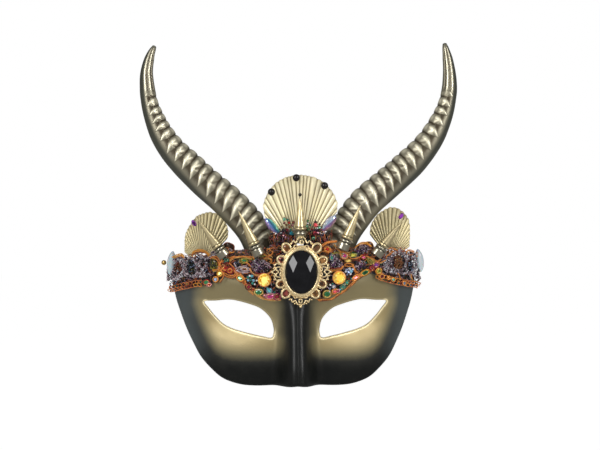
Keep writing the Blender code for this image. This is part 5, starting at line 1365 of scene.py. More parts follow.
SPRAY = [
    ('rhinestone_cluster_left', -8.7, 73.3, 2.3, 'mint'),
    ('rhinestone_cluster_left', -6.5, 72.9, 1.4, 'teal'),
    ('rhinestone_cluster_left', -8.7, 70.6, 1.6, 'garnet'),
    ('rhinestone_cluster_left', -5.4, 70.8, 1.8, 'red'),
    ('rhinestone_cluster_left', -2.2, 71.0, 1.8, 'garnet'),
    ('rhinestone_cluster_left', -2.9, 69.0, 1.7, 'pink'),
    ('rhinestone_cluster_left', -5.1, 67.9, 1.7, 'brown'),
    ('rhinestone_cluster_left', -7.2, 69.2, 1.4, 'bronze'),
    ('rhinestone_cluster_left', -9.4, 65.6, 2.4, 'night'),
    ('rhinestone_cluster_left', -6.5, 65.6, 1.8, 'garnet'),
    ('rhinestone_cluster_left', -4.4, 65.6, 1.6, 'teal'),
    ('rhinestone_cluster_left', -3.6, 63.4, 3.2, 'tealbright'),
    ('rhinestone_cluster_left', -6.5, 63.3, 1.6, 'night'),
    ('rhinestone_cluster_left', -9.7, 61.7, 1.6, 'garnet'),
    ('rhinestone_cluster_left', -7.6, 60.6, 1.6, 'violet'),
    ('rhinestone_cluster_left', -5.4, 59.5, 1.7, 'violet'),
    ('rhinestone_cluster_left', -2.2, 58.4, 1.2, 'white'),
    ('rhinestone_cluster_left', -7.9, 58.3, 1.6, 'night'),
    ('rhinestone_cluster_left', -3.3, 60.6, 1.4, 'garnet'),
    ('rhinestone_cluster_left', -1.5, 65.9, 1.0, 'white'),
    ('rhinestone_cluster_left', -10.8, 63.5, 1.4, 'night'),
    ('rhinestone_cluster_left', -10.8, 67.8, 1.4, 'bronze'),
    ('rhinestone_cluster_right', 7.7, 72.0, 1.7, 'green'),
    ('rhinestone_cluster_right', 7.8, 70.2, 1.6, 'white'),
    ('rhinestone_cluster_right', 7.3, 68.1, 2.0, 'mint'),
    ('rhinestone_cluster_right', 8.0, 65.9, 2.0, 'green'),
    ('rhinestone_cluster_right', 6.4, 65.6, 1.4, 'night'),
    ('rhinestone_cluster_right', 9.6, 69.1, 1.2, 'teal'),
    ('rhinestone_cluster_right', 13.2, 71.3, 1.7, 'night'),
    ('rhinestone_cluster_right', 13.2, 69.0, 3.3, 'redpink'),
    ('rhinestone_cluster_right', 16.1, 69.8, 1.4, 'night'),
    ('rhinestone_cluster_right', 16.1, 67.3, 1.9, 'mint'),
    ('rhinestone_cluster_right', 14.5, 67.0, 1.2, 'white'),
    ('rhinestone_cluster_right', 15.0, 65.5, 1.6, 'night'),
    ('rhinestone_cluster_right', 12.7, 63.4, 3.3, 'ruby'),
    ('rhinestone_cluster_right', 15.0, 63.7, 1.7, 'pink'),
    ('rhinestone_cluster_right', 11.8, 59.8, 2.8, 'greenring'),
    ('rhinestone_cluster_right', 9.6, 62.3, 1.6, 'garnet'),
    ('rhinestone_cluster_right', 7.8, 60.5, 1.7, 'night'),
    ('rhinestone_cluster_right', 9.6, 58.4, 1.4, 'teal'),
    ('rhinestone_cluster_right', 14.3, 60.2, 1.6, 'night'),
    ('rhinestone_cluster_right', 6.8, 63.1, 1.4, 'bronze'),
    ('rhinestone_cluster_right', 10.7, 66.3, 1.4, 'ruby'),
    ('rhinestone_cluster_right', 15.7, 61.2, 1.4, 'bronze'),
]

CHAINS = [
    ('edging_braid_left', [(-88.2, 21.6), (-84.9, 22.1), (-80.4, 23.8), (-74.0, 25.7), (-69.0, 27.1), (-64.6, 27.6)]),
    ('edging_braid_right', [(55.8, 33.1), (59.2, 31.4), (62.6, 30.2), (66.7, 29.0), (71.1, 27.8), (77.6, 26.1), (84.4, 24.6), (90.6, 23.1)]),
]

# ------------------------------------------------------------------ trims
def srgb(r, g, b):
    c = np.array([r, g, b], float) / 255
    return np.where(c <= 0.04045, c / 12.92, ((c + 0.055) / 1.055) ** 2.4)


INK = {"orange": srgb(234, 148, 66), "amber": srgb(226, 152, 52), "pale": srgb(226, 160, 96), "red": srgb(160, 42, 34),
       "lime": srgb(166, 158, 62), "lilac": srgb(200, 176, 180), "teal": srgb(52, 122, 108), "brown": srgb(124, 80, 44),
       "green": srgb(40, 108, 66), "garnet": srgb(100, 24, 34), "magenta": srgb(156, 46, 100), "redpink": srgb(196, 72, 78),
       "violet": srgb(116, 56, 128), "aqua": srgb(92, 172, 184), "sky": srgb(132, 182, 216), "steel": srgb(126, 140, 170),
       "silver": srgb(196, 186, 190), "goldglass": srgb(196, 160, 84), "amberglass": srgb(206, 124, 40), "white": srgb(242, 246, 252),
       "mint": srgb(120, 184, 152), "tealbright": srgb(22, 112, 128), "night": srgb(26, 22, 30), "bronze": srgb(98, 72, 40),
       "ruby": srgb(134, 36, 52), "pink": srgb(222, 150, 162), "greenring": srgb(110, 160, 130), "gold": srgb(226, 190, 110),
       "copper": srgb(212, 124, 68), "rust": srgb(148, 66, 36), "plum": srgb(62, 34, 60), "coal": srgb(22, 18, 20),
       "deepteal": srgb(20, 52, 54), "olive": srgb(92, 90, 44), "wine": srgb(78, 22, 32), "mauve": srgb(140, 106, 118)}

M_CORD = material("twisted_cord", (1, 1, 1), rough=0.34, metal=0.45, vary=0.12, vary_size=1.6, tint=True, sheen=0.15)
M_YARN = material("lurex_yarn", (1, 1, 1), rough=0.36, metal=0.45, vary=0.15, vary_size=0.9, tint=True, sheen=0.2)
M_BEADS = material("seed_beads", (1, 1, 1), rough=0.16, metal=0.20, vary=0.15, vary_size=1.2, tint=True, coat=0.5, coat_rough=0.1)
M_CUP = material("lens_cups", (1, 1, 1), rough=0.28, metal=0.85, vary=0.12, vary_size=1.5, tint=True)
M_FELT = material("black_felt", (0.016, 0.013, 0.017), rough=0.95, sheen=0.35, vary=0.35, vary_size=1.4, bump=0.35, bump_size=0.7,
                  speck=(0.5, (0.006, 0.005, 0.007), (0.045, 0.036, 0.045), 0.18))
M_PETAL = material("enamel_petal", (1, 1, 1), rough=0.30, metal=0.35, vary=0.22, vary_size=2.0, tint=True, coat=0.4, coat_rough=0.12)

BAGS = {}


def bag_of(piece, kind):
    return BAGS.setdefault((piece, kind), Bag())


LOW_LEFT = [(0, 14.5), (9, 16.5), (19, 18.8), (27, 20.8), (36, 27.0), (42.5, 32.0), (50, 30.7), (59, 25.9), (72.5, 22.6), (86, 18.7), (92, 18.0)]
LOW_RIGHT = [(0, 14.5), (12, 16.6), (25.5, 21.6), (36.5, 26.8), (46, 32.0), (52, 33.2), (57.5, 30.6), (67.6, 26.2), (82.7, 22.8), (92, 21.0)]
TOP_LEFT = [(12, 53.0), (18, 53.0), (26, 50.0), (36, 51.5), (41, 51.0), (49, 52.5), (56, 48.0), (60, 48.0), (66, 49.3), (70, 48.0), (74, 46.0), (79, 46.8), (84, 43.0), (90, 40.0)]
TOP_RIGHT = [(14, 54.0), (24, 54.5), (33, 52.5), (38, 52.0), (44, 54.0), (50, 52.5), (54, 48.5), (60, 49.0), (66, 51.6), (74, 51.4), (79, 49.5), (84, 46.5), (90, 43.5)]


def low(x):
    x = np.asarray(x, float)
    return np.where(x < 0, lut(-x, LOW_LEFT), lut(x, LOW_RIGHT))


def top(x):
    x = np.asarray(x, float)
    return np.where(x < 0, lut(-x, TOP_LEFT), lut(x, TOP_RIGHT))


def skin(x, z, off):
    """A point off the face; past the temples and over the brow it keeps to a gentle curve."""
    x, z = np.clip(np.asarray(x, float), -87.6, 88.6), np.asarray(z, float)
    cx = np.clip(x, -86.5, 86.5)
    p = on_face(cx, np.minimum(z, 47.0), off)
    p[..., 0] += x - cx
    p[..., 1] += np.abs(x - cx) * 0.9
    p[..., 2] += np.maximum(z - 47.0, 0.0)
    return p


def felt():
    n, m = 240, 26
    xs = np.linspace(-83, 83, n)
    lo_, hi = low(xs) + 1.6, lut(np.abs(xs), [(0, 46.0), (50, 46.0), (70, 45.6), (92, 43.5)])
    t = np.linspace(0, 1, m)[None]
    Z = lo_[:, None] + (hi - lo_)[:, None] * t
    X = np.repeat(xs[:, None], m, 1)
    fuzz = RNG.uniform(-0.10, 0.10, X.shape)
    edge = np.minimum(np.minimum(t, 1 - t) * 12, 1)
    F = on_face(X, Z, 1.25 + 0.32 * edge ** 0.5 + fuzz * edge)
    B = on_face(X, Z, np.full_like(X, 0.75))
    G = np.concatenate([F, B[:, ::-1]], 1)
    bag = Bag()
    bag.put(G, [grid_faces(n, 2 * m, close_v=True, flip=True),
                ])
    k = np.arange(m - 1)
    for e, turn in ((0, 1), (n - 1, -1)):
        base = e * 2 * m
        f = np.stack([base + k, base + k + 1, base + 2 * m - 2 - k, base + 2 * m - 1 - k], 1)
        bag.F.append(f[:, ::turn])
        bag.C.append(np.ones((f.size, 3)))
        bag.S.append(np.full(len(f), True))
    place("brow_backing_felt", bag, M_FELT, ["brow_backing"])


felt()


def thread(piece, kind, pts3, radius, ink, lay=1.5, count=2, closed=False, vary=0.16):
    cord(bag_of(piece, kind), pts3, radius, ink, closed, lay, count, 6, vary)


def flat_path(pts, off, wob=0.25):
    pts = np.array(pts, float)
    closed = len(pts) > 3 and np.linalg.norm(pts[0] - pts[-1]) < 0.4
    if closed:
        pts = pts[:-1]
    length = np.linalg.norm(np.diff(np.r_[pts, pts[:1]] if closed else pts, axis=0), axis=1).sum()
    n = max(6, int(length / 1.1))
    P = catmull(pts, n, closed)
    o = off + wob * np.sin(np.linspace(0, 2.2 * n ** 0.7, len(P)) + RNG.uniform(0, 6))
    return skin(P[:, 0], P[:, 1], o), closed


CORD_OFF = {}
for i, (piece, col, r, pts) in enumerate(CORDS):
    off = 3.75 + 0.25 * (i % 3)
    if piece.startswith("gem") or piece.startswith("edging"):
        off -= 0.3
    P, closed = flat_path(pts, off)
    thread(piece, "cord", P, r * 0.98, INK[col] * 0.92, 1.6, 2, closed)
    # most cords are laid double, with a thinner one beside them in a neighbouring colour
    if r > 0.35 and not closed:
        q = np.array(pts, float) + [0.0, -0.75]
        P, closed = flat_path(q, off - 0.35)
        thread(piece, "cord", P, r * 0.62, INK[["rust", "brown", "gold", "copper"][i % 4]], 1.3, 2, closed)

# ---- lilac lurex yarn: a dark core wound with metallic thread
YARN_INK = [INK["lilac"], INK["silver"], INK["mauve"], INK["lilac"], INK["white"], INK["plum"], INK["lilac"] * 0.7, INK["mauve"] * 0.5, INK["coal"], INK["coal"], INK["white"] * 0.9]
for i, (piece, pts) in enumerate(YARNS):
    P, closed = flat_path(pts, 3.35 + 0.25 * (i % 2), 0.2)
    n = max(10, int(np.linalg.norm(np.diff(P, axis=0), axis=1).sum() / 0.085))
    Q = catmull(P, n, closed)
    T, U, W = frames(Q, closed)
    bag = bag_of(piece, "yarn")
    V, F = tube(Q[::4], 0.55, 6, closed)
    bag.put(V, F, tint=INK["plum"] * 0.8)
    for w in range(2):
        a = np.linspace(0, 2 * np.pi * n * 0.085 / (1.05 - 0.15 * w), len(Q)) + w * 2.2
        knots = RNG.uniform(0.55, 1.18, len(Q) // 5 + 2)
        rr = np.interp(np.arange(len(Q)), np.arange(len(knots)) * 5, knots) * (0.98 - 0.1 * w)
        H = Q + (U * np.cos(a)[:, None] + W * np.sin(a)[:, None]) * rr[:, None]
        V, F = tube(H, 0.21, 5, False)
        ink = np.array(YARN_INK)[RNG.integers(0, len(YARN_INK), len(Q) // 3 + 2)]
        rows = np.repeat(np.arange(len(Q)) // 3, 5)
        idx = np.r_[np.repeat(0, 5), rows, np.repeat(rows[-1], 5), 0, rows[-1]]
        bag.put(V, F, vt=ink[idx[: len(V)]] * RNG.uniform(0.7, 1.25, (len(V), 1)))


# ---- seed beads and short threads that fill the ground
def seed_cloud(piece, xs, zs, offs, inks, rmin=0.42, rmax=0.68):
    bag = bag_of(piece, "seeds")
    P = skin(xs, zs, offs)
    for p in P:
        ink = INK[inks[RNG.integers(0, len(inks))]] * RNG.uniform(0.35, 1.1)
        ball(bag, p, RNG.uniform(rmin, rmax), ink, 7, 5, 0.85, RNG.normal(size=3))


GROUND = ["coal", "plum", "bronze", "night", "wine", "deepteal", "olive", "rust", "brown", "coal", "mauve", "copper", "night", "teal", "garnet"]
REGIONS = {"lace_side_left": (-87.5, -56.5, 520), "lace_brow_left": (-56.5, -13.0, 640), "lace_brow_right": (15.0, 57.0, 640), "lace_side_right": (57.0, 88.5, 520)}
for piece, (x0, x1, count) in REGIONS.items():
    xs = RNG.uniform(x0, x1, count)
    lo_ = low(xs) + (4.4 if "side" in piece else 3.0)
    hi = top(xs) - 0.8
    zs = lo_ + (hi - lo_) * RNG.random(count)
    seed_cloud(piece, xs, zs, RNG.uniform(2.1, 3.0, count), GROUND)
    # tangled short threads
    inks = ["rust", "copper", "brown", "wine", "bronze", "orange", "mauve", "olive", "coal", "amber", "lilac"] if "brow" in piece else ["mauve", "plum", "lilac", "coal", "brown", "steel", "rust", "coal"]
    for _ in range(150 if "brow" in piece else 110):
        x = RNG.uniform(x0 + 1.5, x1 - 1.5)
        a, b = float(low(x)) + 4.0, float(top(x)) - 0.6
        z = a + (b - a) * RNG.random()
        ang, ln = RNG.uniform(0, math.pi), RNG.uniform(1.6, 3.6)
        bend = RNG.uniform(-1.2, 1.2)
        c, s = math.cos(ang), math.sin(ang)
        pts = [(x - c * ln - s * bend * .3, z - s * ln), (x + s * bend, z - c * bend), (x + c * ln, z + s * ln)]
        pts = [(px, min(max(pz, float(low(px)) + 2.0), float(top(px)) + 0.8)) for px, pz in pts]
        P = skin([p[0] for p in pts], [p[1] for p in pts], [2.7, RNG.uniform(3.0, 3.6), 2.7])
        thread(piece, "cord", P, RNG.uniform(0.22, 0.36), INK[inks[RNG.integers(0, len(inks))]] * RNG.uniform(0.7, 1.2), 1.2)
    # fine loops along the upper edge
    x = x0 + 1.5
    while x < x1 - 1.5:
        z = float(top(x)) - 0.6
        w, h = RNG.uniform(1.0, 1.6), RNG.uniform(1.0, 1.7)
        t = np.linspace(0, 2 * np.pi, 9)[:-1]
        P = skin(x + w * np.cos(t), z + h * np.sin(t), 2.9 + 0.3 * np.sin(2 * t + x))
        thread(piece, "cord", P, 0.27, INK[["orange", "copper", "lilac", "mauve", "rust", "brown"][RNG.integers(0, 6)]], 1.2, 2, True)
        x += RNG.uniform(1.9, 2.9)


# ---- leaves: patches of bugles and beads in one family of colours
LEAF_INK = {"violet": ["plum", "mauve", "lilac", "coal", "night", "silver", "plum", "violet"], "night": ["coal", "deepteal", "night", "steel", "coal", "olive"],
            "umber": ["brown", "bronze", "coal", "rust", "brown", "wine"], "olive": ["olive", "coal", "deepteal", "lime", "night", "bronze"]}


def inside(poly, x, z):
    hit = np.zeros(len(x), bool)
    for (x0, z0), (x1, z1) in zip(poly, np.roll(poly, -1, 0)):
        cross_ = (z0 > z) != (z1 > z)
        hit ^= cross_ & (x < (x1 - x0) * (z - z0) / (z1 - z0 + 1e-12) + x0)
    return hit


for piece, ink, pts in LEAVES:
    poly = catmull(pts, 40, True)
    lo_, hi = poly.min(0), poly.max(0)
    c = poly.mean(0)
    area_ = (hi - lo_).prod()
    xs, zs = RNG.uniform(lo_[0], hi[0], int(area_ * 2.6)), RNG.uniform(lo_[1], hi[1], int(area_ * 2.6))
    keep = inside(poly, xs, zs)
    xs, zs = xs[keep], zs[keep]
    d = np.hypot((xs - c[0]) / (hi[0] - lo_[0]), (zs - c[1]) / (hi[1] - lo_[1])) * 2
    seed_cloud(piece, xs, zs, 3.4 + 0.9 * np.clip(1 - d, 0, 1) + RNG.uniform(-0.2, 0.2, len(xs)), LEAF_INK[ink], 0.30, 0.48)
    # a smooth base closes the patch
    base = np.stack([poly * s_ + c * (1 - s_) for s_ in np.linspace(1, 0.04, 8)])
    off = 2.6 + 0.9 * np.sin(np.linspace(0, math.pi / 2, 8))[:, None] * np.ones(40)
    bag_of(piece, "seeds").put(skin(base[..., 0], base[..., 1], off), grid_faces(8, 40, close_v=True), tint=INK[LEAF_INK[ink][0]] * 0.5)
    for _ in range(int(area_ * 0.35)):
        k_ = RNG.integers(0, len(xs))
        ang = RNG.uniform(0, math.pi)
        dx, dz = math.cos(ang) * 0.9, math.sin(ang) * 0.9
        P = skin([xs[k_] - dx, xs[k_], xs[k_] + dx], [zs[k_] - dz, zs[k_], zs[k_] + dz], [4.0, 4.5, 4.0])
        thread(piece, "cord", P, 0.2, INK[LEAF_INK[ink][RNG.integers(0, len(LEAF_INK[ink]))]] * 1.2, 1.0)


# ---- set lenses
def lens(piece, x, z, w, h, turn, glass, ring, off=3.5):
    c = skin(x, z, off)
    n = face_normal(np.clip(x, -88, 88), min(z, 47.0)) + np.array([0, -0.35, 0]) + RNG.normal(size=3) * 0.10
    R, U, N = basis(n, math.radians(turn))
    a, b = w / 2, h / 2
    t = np.linspace(0, 2 * np.pi, 26, endpoint=False)
    path_ = lambda s_, d_: c + (a * s_ * np.cos(t))[:, None] * R + (b * s_ * np.sin(t))[:, None] * U + d_ * N
    thread(piece, "cord", path_(1.0, 0.55)[::2], 0.40, INK[ring], 1.3, 2, True)
    bag_of(piece, "cups").put(*tube(path_(0.80, 0.65), 0.22, 6, True), tint=INK["gold"] * 0.8)
    # painted shade: a darker copy of the ring colour round the foot of the setting
    bag_of(piece, "cups").put(*tube(path_(1.1, 0.1), 0.5, 6, True), tint=INK[ring] * 0.4)
    stone(bag_of(piece, "glass"), c + 0.15 * N, (2 * a * 0.80, 2 * b * 0.80, 1.15), N, math.radians(turn), INK[glass], sides=10, facet_glint=0.8)


for row in CUPS:
    lens(*row)

# ---- rhinestones
for piece, x, z, size, ink in STONES:
    c = skin(x, z, 3.9)
    n = face_normal(np.clip(x, -88, 88), min(z, 47.0)) + np.array([0, -0.5, 0]) + RNG.normal(size=3) * 0.18
    stone(bag_of(piece, "glass"), c, (size, size, size * 0.55), n, RNG.uniform(0, 1), INK[ink], sides=8, facet_glint=0.7)
for piece, x, z, size, ink in SPRAY:
    c = np.array([x, -57.4 - RNG.uniform(0, 0.8), z])
    n = np.array([0, -1.0, 0]) + RNG.normal(size=3) * 0.22
    stone(bag_of(piece, "glass"), c, (size, size, size * 0.55), n, RNG.uniform(0, 1), INK[ink], sides=8, facet_glint=0.7)
    bag_of(piece, "cups").put(*tube(c + 0.52 * size * np.stack([np.cos(q := np.linspace(0, 2 * np.pi, 16, endpoint=False)), 0 * q + 0.1, np.sin(q)], 1),
                                    0.16, 5, True), tint=INK["bronze"])
# dark beads and wire stalks behind the spray
for piece, x0, x1 in (("rhinestone_cluster_left", -19.0, -2.0), ("rhinestone_cluster_right", 7.0, 24.0)):
    for _ in range(190):
        u_ = RNG.random()
        x = x0 + (x1 - x0) * u_
        mid = 4.5 if piece.endswith("left") else 0.5
        z = RNG.uniform(52.5, 63.5 + 3.5 * math.sin(math.pi * u_))
        ink = INK[["coal", "night", "plum", "wine", "deepteal", "bronze", "garnet", "night"][RNG.integers(0, 8)]] * RNG.uniform(0.7, 1.5)
        ball(bag_of(piece, "seeds"), (x, -56.6 - RNG.uniform(0, 1.6), z), RNG.uniform(0.5, 0.85), ink, 7, 5)
    bag = bag_of(piece, "seeds")
    pn, pm = 11, 40
    pt = np.linspace(0, 2 * np.pi, pm, endpoint=False)
    pc = ((x0 + x1) / 2 + (1.2 if x1 < 0 else -1.2), 55.6)
    se = lambda v: np.sign(v) * np.abs(v) ** 0.6
    rows = [np.stack([pc[0] + 9.4 * q * se(np.cos(pt)), -55.9 - 1.3 * math.sqrt(1 - min(q, 1) ** 2) + 0 * pt, pc[1] + 7.2 * q * se(np.sin(pt))], 1) for q in np.linspace(1, 0.03, pn)]
    rows = [rows[0] + [0, 0.5, 0]] + rows
    bag.put(np.concatenate(rows), grid_faces(pn + 1, pm, close_v=True), tint=INK["night"] * 0.6)
    for _ in range(170):
        x, z = RNG.uniform(min(x0, x1) - 4, max(x0, x1) + (4 if x1 > 0 else 6)), RNG.uniform(46.5, 53.5)
        ink = INK[["coal", "night", "plum", "wine", "bronze", "brown", "rust", "deepteal"][RNG.integers(0, 8)]] * RNG.uniform(0.5, 1.3)
        ball(bag_of(piece, "seeds"), (x, float(face_y(x, 44.0)) - RNG.uniform(1.6, 3.2), z), RNG.uniform(0.5, 0.9), ink, 7, 5)
    for _ in range(34):
        x, z = RNG.uniform(x0 - 2, x1 + 2), RNG.uniform(47.5, 54.5)
        w_, b_ = RNG.uniform(1.2, 2.4), RNG.uniform(-1.4, 1.4)
        y_ = float(face_y(x, 44.0)) - RNG.uniform(3.0, 4.2)
        cord(bag_of(piece, "cord"), [(x - w_, y_, z - b_), (x, y_ - 0.4, z + 0.7), (x + w_, y_, z + b_)], RNG.uniform(0.26, 0.4),
             INK[["copper", "orange", "rust", "mauve", "brown", "bronze"][RNG.integers(0, 6)]])
    for _ in range(26):
        x = RNG.uniform(x0, x1)
        P = [(x, -56.8, 54.5), (x + RNG.uniform(-2, 2), -58.2, RNG.uniform(58, 61)), (x + RNG.uniform(-3, 3), -57.4, RNG.uniform(62, 67))]
        cord(bag_of(piece, "cord"), P, RNG.uniform(0.22, 0.34), INK[["copper", "bronze", "rust", "mauve", "coal", "brown"][RNG.integers(0, 6)]])

# ---- edging: two rows of interlocked loops between two cords
for piece, pts in CHAINS:
    pts = [(min(max(x, -87.0), 87.9), z) for x, z in pts]
    C = catmull(pts, 400)
    s_ = np.r_[0, np.cumsum(np.linalg.norm(np.diff(C, axis=0), axis=1))]
    d = unit(np.gradient(C, axis=0))
    up = np.stack([-d[:, 1], d[:, 0]], 1)
    up *= np.sign(up[:, 1:2])
    t = np.linspace(0, 2 * np.pi, 11)[:-1]
    for row in (-1, 1):
        q = 0.8 + (0.55 if row > 0 else 0)
        while q < s_[-1] - 0.5:
            k_ = int(np.interp(q, s_, np.arange(len(s_))))
            c = C[k_] + up[k_] * row * 1.0
            a, b = RNG.uniform(1.3, 1.65), RNG.uniform(0.85, 1.1)
            tilt = row * 0.45 + RNG.uniform(-0.3, 0.3)
            e, f_ = d[k_] * math.cos(tilt) + up[k_] * math.sin(tilt), up[k_] * math.cos(tilt) - d[k_] * math.sin(tilt)
            ring = c + (a * np.cos(t))[:, None] * e + (b * np.sin(t))[:, None] * f_
            P = skin(ring[:, 0], ring[:, 1], 3.3 + 0.6 * np.sin(t + row))
            thread(piece, "cord", P, 0.33, INK[["orange", "copper", "orange", "rust", "amber", "copper"][RNG.integers(0, 6)]] * RNG.uniform(0.8, 1.15), 1.2, 2, True)
            if RNG.random() < 0.45:
                ink = ["garnet", "teal", "gold", "steel", "coal", "wine", "olive"][RNG.integers(0, 7)]
                ball(bag_of(piece, "seeds"), skin(c[0], c[1], 3.2), 0.55, INK[ink], 9, 6)
            q += RNG.uniform(2.1, 2.6)
    for row, r in ((-2.05, 0.33), (2.05, 0.30)):
        e = C[::14] + up[::14] * row
        thread(piece, "cord", skin(e[:, 0], e[:, 1], 2.9), r, INK["copper" if row else "brown"], 1.3)
    xs = np.interp(RNG.uniform(0, s_[-1], 150), s_, C[:, 0])
    zs = np.interp(xs, C[:, 0], C[:, 1]) + RNG.uniform(-1.8, 1.8, 150)
    seed_cloud(piece, xs, zs, RNG.uniform(2.2, 2.8, 150), ["coal", "coal", "wine", "night", "bronze"], 0.4, 0.6)
# thread ends at the temples
for piece, x, z, s_ in (("edging_braid_left", -86.6, 22.4, -1), ("edging_braid_right", 87.4, 23.6, 1), ("lace_side_left", -86.5, 29.0, -1), ("lace_side_right", 87.5, 30.0, 1)):
    for _ in range(5):
        P = [skin(x, z, 2.8), skin(x + s_ * RNG.uniform(0.1, 0.5), z + RNG.uniform(-0.8, 1.0), 3.2), skin(x + s_ * RNG.uniform(0.2, 0.9), z + RNG.uniform(-1.6, 1.8), 3.2)]
        cord(bag_of(piece, "cord"), P, 0.13, INK["orange" if "edging" in piece else "mauve"], lay=0.8)

# ---- gem chain ground: small loops and beads between the set lenses
for piece, x0, x1 in (("gem_chain_left", -46.5, -12.5), ("gem_chain_right", 13.5, 48.0)):
    xs = RNG.uniform(x0, x1, 260)
    seed_cloud(piece, xs, low(xs) + RNG.uniform(0.6, 6.4, 260), RNG.uniform(2.2, 3.0, 260), GROUND, 0.42, 0.66)
    x = x0 + 0.8
    t = np.linspace(0, 2 * np.pi, 10)[:-1]
    while x < x1 - 0.5:
        z = float(low(x)) + RNG.uniform(0.9, 1.6)
        a = RNG.uniform(0.9, 1.4)
        P = skin(x + a * np.cos(t), z + 0.85 * a * np.sin(t), 3.1 + 0.4 * np.sin(t))
        thread(piece, "cord", P, 0.29, INK[["orange", "copper", "rust", "garnet", "amber", "mauve"][RNG.integers(0, 6)]], 1.2, 2, True)
        x += RNG.uniform(1.7, 2.5)

# ---- petals beside the horns
def petal(side, x, y, z, w, h, rim, inks, turn):
    bag, rimbag = Bag(), Bag()
    n, m = 60, 12
    t = np.linspace(0, 2 * np.pi, n, endpoint=False)
    c, s = math.cos(turn), math.sin(turn)
    rows, tints = [], []
    for q in np.linspace(1, 0.02, m):
        px = w / 2 * q * np.cos(t) * (1 + 0.06 * np.cos(3 * t))
        pz = h / 2 * q * np.sin(t) * (1 - 0.18 * np.cos(t) ** 2)
        rows.append(np.stack([x + px * c - pz * s, y - 0.25 - 0.9 * (1 - q ** 2) + 0.18 * np.cos(9 * t) * q, z + px * s + pz * c], 1))
        tints.append(np.asarray(inks[0]) * (1 - q) + np.asarray(inks[1]) * q * (1 + 0.25 * np.cos(9 * t))[:, None])
    F = np.concatenate(rows)
    vt = np.concatenate(tints)
    back_ = F * 1.0
    back_[:, 1] = y + 0.35 - 0.3 * (back_[:, 1] - y)
    bag.put(np.concatenate([F, back_]), [grid_faces(m, n, close_v=True), grid_faces(m, n, close_v=True, flip=True, base=m * n),
            np.stack([np.arange(n), (np.arange(n) + 1) % n, m * n + (np.arange(n) + 1) % n, m * n + np.arange(n)], 1)[:, ::-1]],
            vt=np.concatenate([vt, vt * 0.5]))
    for V, F_ in strands(rows[0], 0.5, 1.5, 2, 7, True):
        bag.put(V, F_, tint=rim)
    place("petal_%s_leaf" % side, bag, M_PETAL, ["petal_" + side])


petal("left", -47.8, -49.4, 52.2, 8.2, 9.0, INK["rust"], (INK["brown"] * 0.5, INK["coal"] * 1.2), 0.5)
petal("right", 51.2, -47.0, 52.2, 8.2, 9.0, INK["amber"], (INK["brown"] * 0.6, INK["plum"] * 0.8), -0.4)

KIND = {"cord": M_CORD, "yarn": M_YARN, "seeds": M_BEADS, "glass": M_STONE, "cups": M_CUP}
for (piece, kind), bag in sorted(BAGS.items()):
    place("%s_%s" % (piece, kind), bag, KIND[kind], [piece])

# ---- strap tabs: a moulded bar with a slot's raised rim and a staple
M_TAB = material("tab_plastic", (0.03, 0.03, 0.032), rough=0.5, vary=0.2, vary_size=3, bump=0.08, bump_size=0.5)
M_STAPLE = M_PEWTER
for side, sign in (("left", -1), ("right", 1)):
    lo_, hi = np.array(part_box("strap_tab_" + side)[0]) / MM, np.array(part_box("strap_tab_" + side)[1]) / MM
    c = (lo_ + hi) / 2 - [0, DY, 0]
    n = face_normal(np.array(sign * 76.0), np.array(8.0)) * [1, 1, 0]
    n = unit(n)
    along = np.array([-n[1], n[0], 0])
    along = along * np.sign(along[0])
    bag = Bag()
    # rounded bar: rings of a superellipse stepped through its thickness
    t = np.linspace(0, 2 * np.pi, 72, endpoint=False)
    ex = lambda v: np.sign(v) * np.abs(v) ** 0.45
    rows = []
    for d_, s_ in ((-0.75, 0.90), (-0.70, 0.95), (-0.45, 0.995), (0.45, 0.995), (0.70, 0.95), (0.75, 0.90), (0.75, 0.60), (0.45, 0.55), (0.45, 0.02)):
        rows.append(c - n * d_ + (4.5 * s_ * ex(np.cos(t)))[:, None] * along + (7.0 * s_ * ex(np.sin(t)))[:, None] * np.array([0, 0, 1.0]))
    V = np.concatenate(rows + [(c + n * 0.75)[None]])
    m = len(rows)
    k_ = np.arange(72)
    bag.put(V, [grid_faces(m, 72, close_v=True, flip=sign > 0), np.stack([np.full(72, m * 72), k_, (k_ + 1) % 72], 1)])
    for dz in (-2.2, 2.2):
        P = [c - n * 0.3 + np.array([0, 0, dz]) - along * 2.6, c - n * 0.72 + np.array([0, 0, dz]) - along * 2.3, c - n * 0.74 + np.array([0, 0, dz]),
             c - n * 0.72 + np.array([0, 0, dz]) + along * 2.3, c - n * 0.3 + np.array([0, 0, dz]) + along * 2.6]
        bag.put(*tube(catmull(P, 30), 0.25, 7), tint=(1, 1, 1))
    place("strap_tab_%s_moulded" % side, bag, M_TAB, ["strap_tab_" + side])

# ------------------------------------------------------------------ stage, light and camera
def stage():
    me = bpy.data.meshes.new("floor")
    n = 12.0
    me.from_pydata([(-n, -n, -0.9), (n, -n, -0.9), (n, n, -0.9), (-n, n, -0.9)], [], [(0, 1, 2, 3)])
    mat = bpy.data.materials.new("pale_floor")
    mat.use_nodes = True
    b = mat.node_tree.nodes["Principled BSDF"]
    b.inputs["Base Color"].default_value = (0.92, 0.92, 0.92, 1)
    b.inputs["Roughness"].default_value = 0.9
    b.inputs["Emission Color"].default_value = (1, 1, 1, 1)
    b.inputs["Emission Strength"].default_value = 0.85
    me.materials.append(mat)
    obj = bpy.data.objects.new("floor", me)
    obj.visible_glossy = False
    bpy.context.scene.collection.objects.link(obj)


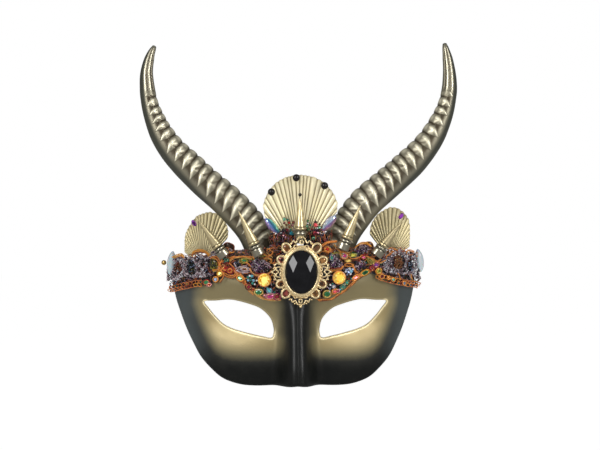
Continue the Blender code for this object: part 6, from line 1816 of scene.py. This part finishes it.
def area(name, pos, size, power, target=(0, -0.03, 0.05), color=(1, 1, 1)):
    from mathutils import Vector
    data = bpy.data.lights.new(name, "AREA")
    data.shape = "RECTANGLE"
    data.size, data.size_y = size
    data.energy = power
    data.color = color
    obj = bpy.data.objects.new(name, data)
    obj.location = pos
    obj.rotation_euler = (Vector(target) - Vector(pos)).to_track_quat("-Z", "Y").to_euler()
    bpy.context.scene.collection.objects.link(obj)
    return obj


stage()
area("key_left", (-1.05, -1.22, 0.78), (0.42, 0.95), 14.0)
area("key_right", (1.08, -1.18, 0.74), (0.42, 0.95), 12.5)
for soft in (area("top", (0.0, -0.55, 1.5), (1.0, 0.6), 9.0), area("low_fill", (0.0, -1.6, -0.35), (1.2, 0.3), 2.0)):
    soft.visible_glossy = False
world = bpy.data.worlds.new("studio")
world.use_nodes = True
wn, wl = world.node_tree.nodes, world.node_tree.links
path_ = wn.new("ShaderNodeLightPath")
strength = wn.new("ShaderNodeMapRange")
wl.new(path_.outputs["Is Camera Ray"], strength.inputs["Value"])
strength.inputs["To Min"].default_value = 0.16
strength.inputs["To Max"].default_value = 1.0
wn["Background"].inputs[0].default_value = (1, 1, 1, 1)
wl.new(strength.outputs[0], wn["Background"].inputs[1])
bpy.context.scene.world = world
bpy.context.scene.view_settings.view_transform = "Standard"
bpy.context.scene.view_settings.look = "None"

from mathutils import Vector
az, el, dist = math.radians(-3.0), math.radians(3.0), 1.5
back = Vector((math.sin(az) * math.cos(el), -math.cos(az) * math.cos(el), math.sin(el)))
cam = bpy.data.cameras.new("camera")
cam.lens, cam.sensor_width, cam.sensor_fit = 127.065, 36.0, "HORIZONTAL"
cam.clip_start, cam.clip_end = 0.05, 40.0
eye_obj = bpy.data.objects.new("camera", cam)
eye_obj.location = Vector((0.003, -0.045 + 0.017, 0.0685)) + back * dist
eye_obj.rotation_euler = (-back).to_track_quat("-Z", "Y").to_euler()
bpy.context.scene.collection.objects.link(eye_obj)
bpy.context.scene.camera = eye_obj
